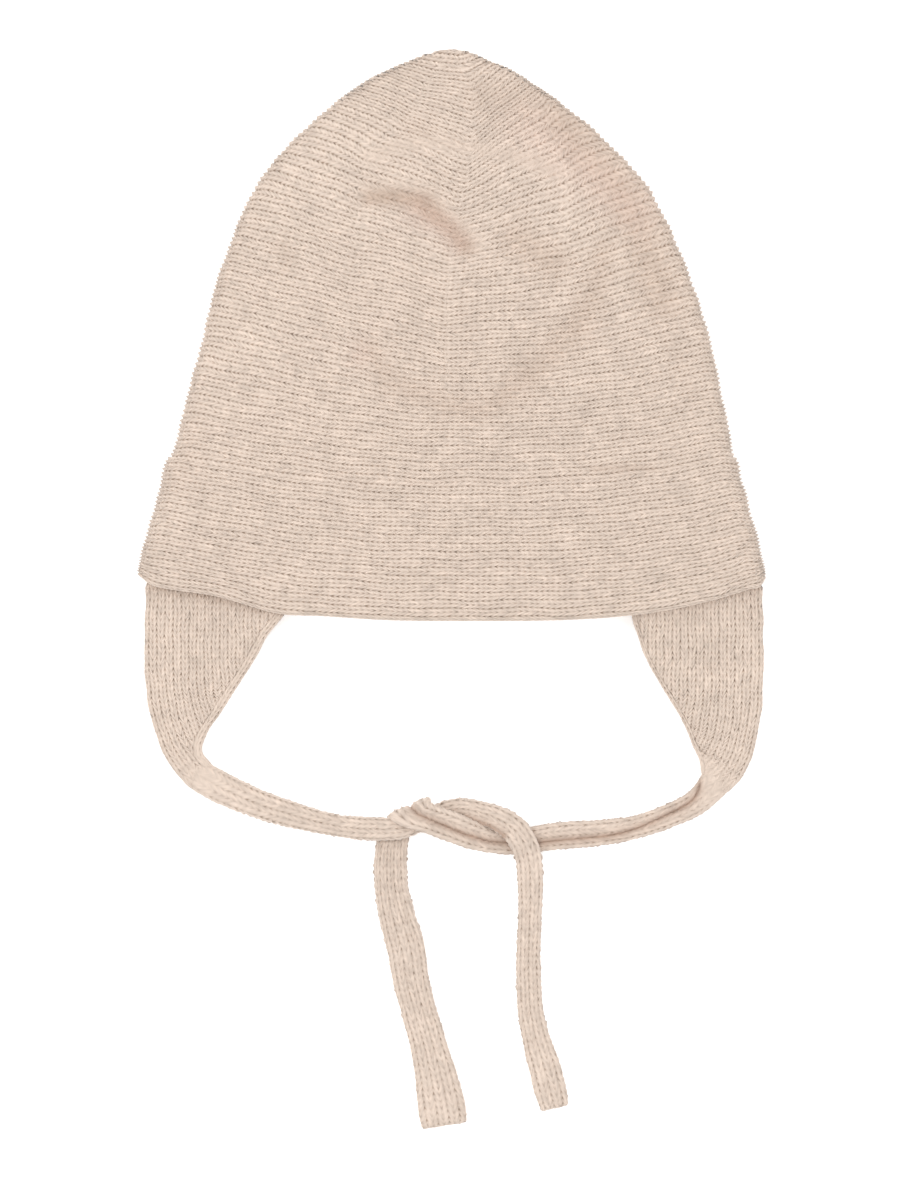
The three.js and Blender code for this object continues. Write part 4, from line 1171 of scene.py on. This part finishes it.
def knit_material(name, gap_shade, row_shade, shine):
    """The knit's yarn: how dark the painted shade in the stitches' gaps and in the lines between rows is,
    and how light it is.
    """
    mat = bpy.data.materials.new(name)
    mat.use_nodes = True
    nodes, links = mat.node_tree.nodes, mat.node_tree.links
    nodes.clear()

    def node(kind, sockets, **values):
        """The outputs of a new node. Each socket takes a value or another node's output."""
        made = nodes.new(kind)
        for key, value in values.items():
            setattr(made, key, value)
        for slot, value in sockets.items():
            if isinstance(value, (int, float, tuple)):
                made.inputs[slot].default_value = value
            else:
                links.new(value, made.inputs[slot])
        return made.outputs

    def calc(op, *values, clamp=False):
        return node("ShaderNodeMath", dict(enumerate(values)), operation=op, use_clamp=clamp)[0]

    def wave(value):
        """A cosine between 0 and 1, with its top at whole numbers."""
        return calc("MULTIPLY_ADD", calc("COSINE", calc("MULTIPLY", value, 2 * math.pi)), 0.5, 0.5)

    def noise(vector, scale, detail, roughness=0.5):
        sockets = {"Vector": vector, "Scale": scale, "Detail": detail, "Roughness": roughness}
        return node("ShaderNodeTexNoise", sockets)[0]

    def mapped(value, seen, wanted):
        """A value moved from one range to another."""
        sockets = dict(zip(("From Min", "From Max", "To Min", "To Max"), (*seen, *wanted)))
        return node("ShaderNodeMapRange", {"Value": value, **sockets})[0]

    def mix(share, first, second):
        """The first colour with a share of the second one."""
        return node("ShaderNodeMix", {0: share, 6: first, 7: second}, data_type="RGBA")[2]

    uv = node("ShaderNodeUVMap", {}, uv_map="stitch")[0]
    across, up, _ = node("ShaderNodeSeparateXYZ", {0: uv})
    a = calc("MULTIPLY", across, UV_SCALE)
    b = calc("SUBTRACT", calc("MULTIPLY", up, UV_SCALE * COURSE / HALF_WALE), UV_SHIFT)
    two = calc("FLOORED_MODULO", b, 2.0)
    zig = calc("SUBTRACT", 1.0, calc("ABSOLUTE", calc("SUBTRACT", two, 1.0)))
    c = calc("SUBTRACT", a, calc("MULTIPLY", zig, SLANT))
    gap, seam = wave(c), wave(b)
    # Painted shade of the knit: dark dots in the stitches' gaps and dark lines between rows.
    dot = calc("MULTIPLY", calc("POWER", seam, 1.5), calc("POWER", gap, 1.7))
    # Inside a wale the gaps are smaller than between two wales.
    pair = calc("SUBTRACT", 1.26, calc("MULTIPLY", zig, 0.58))
    line = calc("POWER", seam, 2.0)
    stitch = node("ShaderNodeCombineXYZ", {0: c, 1: b})[0]
    # No two stitches are equally open, so the painted shade of their gaps differs.
    openness = mapped(noise(stitch, 0.85, 2.0), (0.36, 0.64), (0.3, 1.75))
    gap_shading = calc("MULTIPLY", calc("MULTIPLY", dot, gap_shade), openness)
    painted_shade = calc("MULTIPLY", calc("ADD", gap_shading, calc("MULTIPLY", line, row_shade)), pair, clamp=True)
    # The painted shade of creases, of tie folds and of the flaps under the hem, the smooth places and the
    # pink.
    marks = node("ShaderNodeAttribute", {}, attribute_name="marks")["Vector"]
    crease_shade, plain, pink = node("ShaderNodeSeparateXYZ", {0: marks})
    # Where the knit lies smooth the painted shade of its gaps blurs into one even tone.
    blur = calc("MULTIPLY", plain, 0.8)
    painted_shade = calc("MULTIPLY", painted_shade, calc("SUBTRACT", 1.0, blur))
    painted_shade = calc("ADD", painted_shade, calc("MULTIPLY", blur, 0.15 * gap_shade + 0.35 * row_shade))
    # The yarn with the painted shade of its gaps and rows.
    colour = mix(painted_shade, YARN, PAINTED_GAP_SHADE)
    # Painted shade in creases, folds and under the hem.
    colour = mix(calc("MULTIPLY", crease_shade, 0.5, clamp=True), colour, PAINTED_CREASE_SHADE)
    colour = mix(calc("MULTIPLY", pink, 0.18, clamp=True), colour, YARN_PINK)
    # The yarn's tone changes from stitch to stitch, and the piece's from patch to patch.
    place = node("ShaderNodeTexCoord", {})["Object"]
    tone = mapped(noise(stitch, 0.9, 3.0), (0.3, 0.7), (0.86, 1.1))
    wide = mapped(noise(place, 150.0, 3.0, 0.6), (0.3, 0.7), (0.92 * shine, 1.06 * shine))
    light = calc("MULTIPLY", tone, wide)
    colour = node("ShaderNodeVectorMath", {0: colour, "Scale": light}, operation="SCALE")[0]

    hollow = calc("ADD", calc("MULTIPLY", gap, 0.6), calc("MULTIPLY", seam, 0.6))
    fibre = calc("MULTIPLY", noise(place, 3500.0, 3.0), 0.5)
    height = calc("ADD", calc("SUBTRACT", 1.0, hollow), fibre)
    bump = node("ShaderNodeBump", {"Strength": 0.5, "Distance": 0.0002, "Height": height})[0]
    shader = node("ShaderNodeBsdfPrincipled", {
        "Base Color": colour, "Normal": bump, "Roughness": 0.95, "Specular IOR Level": 0.2,
        "Sheen Weight": 0.25, "Sheen Roughness": 0.6})[0]
    node("ShaderNodeOutputMaterial", {0: shader})
    return mat


# The stage
WHITE = (1, 1, 1, 1)
FLOOR_COLOUR = (0.96, 0.96, 0.96, 1)
FLOOR_Z = -0.0002
FLOOR_GLOW = 0.3
WORLD_LIGHT = 1.18
KEY_PLACE = (-0.4, 0.35, 1.3)
KEY_SIZE = 1.2
KEY_POWER = 4.5
# The camera looks straight down on a picture of this many pixels, where the source's own origin has this
# pixel and one pixel is this many millimetres.
PICTURE = (900, 1200)
ORIGIN_PIXEL = (451.5, 621)
PIXEL = 0.31
CAMERA_AWAY = 1.6
SENSOR = 24.0


def make_stage():
    scene = bpy.context.scene
    scene.view_settings.view_transform = "Standard"
    bpy.ops.mesh.primitive_plane_add(size=4, location=(0, 0, FLOOR_Z))
    floor = bpy.context.object
    floor.name = "floor"
    mat = bpy.data.materials.new("floor_white")
    mat.use_nodes = True
    shader = mat.node_tree.nodes["Principled BSDF"]
    shader.inputs["Base Color"].default_value = FLOOR_COLOUR
    # The floor is a light table, so it stays white close round the bonnet.
    shader.inputs["Emission Color"].default_value = WHITE
    shader.inputs["Emission Strength"].default_value = FLOOR_GLOW
    shader.inputs["Roughness"].default_value = 0.9
    floor.data.materials.append(mat)
    world = bpy.data.worlds.new("studio")
    scene.world = world
    world.use_nodes = True
    world.node_tree.nodes["Background"].inputs[0].default_value = WHITE
    world.node_tree.nodes["Background"].inputs[1].default_value = WORLD_LIGHT
    light = bpy.data.lights.new("key", "AREA")
    light.size = KEY_SIZE
    light.energy = KEY_POWER
    lamp = bpy.data.objects.new("key", light)
    lamp.location = KEY_PLACE
    lamp.rotation_euler = (-Vector(KEY_PLACE)).to_track_quat("-Z", "Y").to_euler()
    scene.collection.objects.link(lamp)
    cam = bpy.data.cameras.new("camera")
    camera = bpy.data.objects.new("camera", cam)
    scene.collection.objects.link(camera)
    scene.camera = camera
    cam.sensor_fit = "VERTICAL"
    cam.sensor_height = SENSOR
    cam.lens = SENSOR * CAMERA_AWAY / (PICTURE[1] * PIXEL * MM)
    centre_x = (PICTURE[0] / 2 - ORIGIN_PIXEL[0]) * PIXEL * MM
    centre_y = ((ORIGIN_PIXEL[1] - PICTURE[1] / 2) * PIXEL - SHIFT_Y) * MM
    camera.location = (centre_x, centre_y, CAMERA_AWAY + 0.01)
    camera.rotation_euler = (0, 0, 0)
    cam.clip_end = 10


make_stage()
shell_knit = knit_material("knit_of_crown", 0.66, 0.27, 0.975)
flap_knit = knit_material("knit_of_earflaps", 0.55, 0.2, 0.995)
tie_knit = knit_material("knit_of_ties", 0.5, 0.13, 0.975)
pieces = make_shell()
pieces += [make_flap(-1), make_flap(1)]
tip_y = (flap_tip(-1)[0][1] + flap_tip(1)[0][1]) / 2
knot_middle = np.array([KNOT_ACROSS * HALF, tip_y - STRAP_SAG])
pieces += [make_tie(-1, knot_middle), make_tie(1, knot_middle)]
for piece, knit in zip(pieces, [shell_knit] * 3 + [flap_knit] * 2 + [tie_knit] * 2):
    piece.data.materials.append(knit)
    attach(piece, "root")
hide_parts("crown")
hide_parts("crown")
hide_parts("brim_band")
for piece, node in zip(pieces[3:], ("earflap_left", "earflap_right", "tie_left", "tie_right")):
    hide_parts(node)

for piece, side in zip(pieces[3:5], (-1, 1)):
    flat, area = unfolded(side)
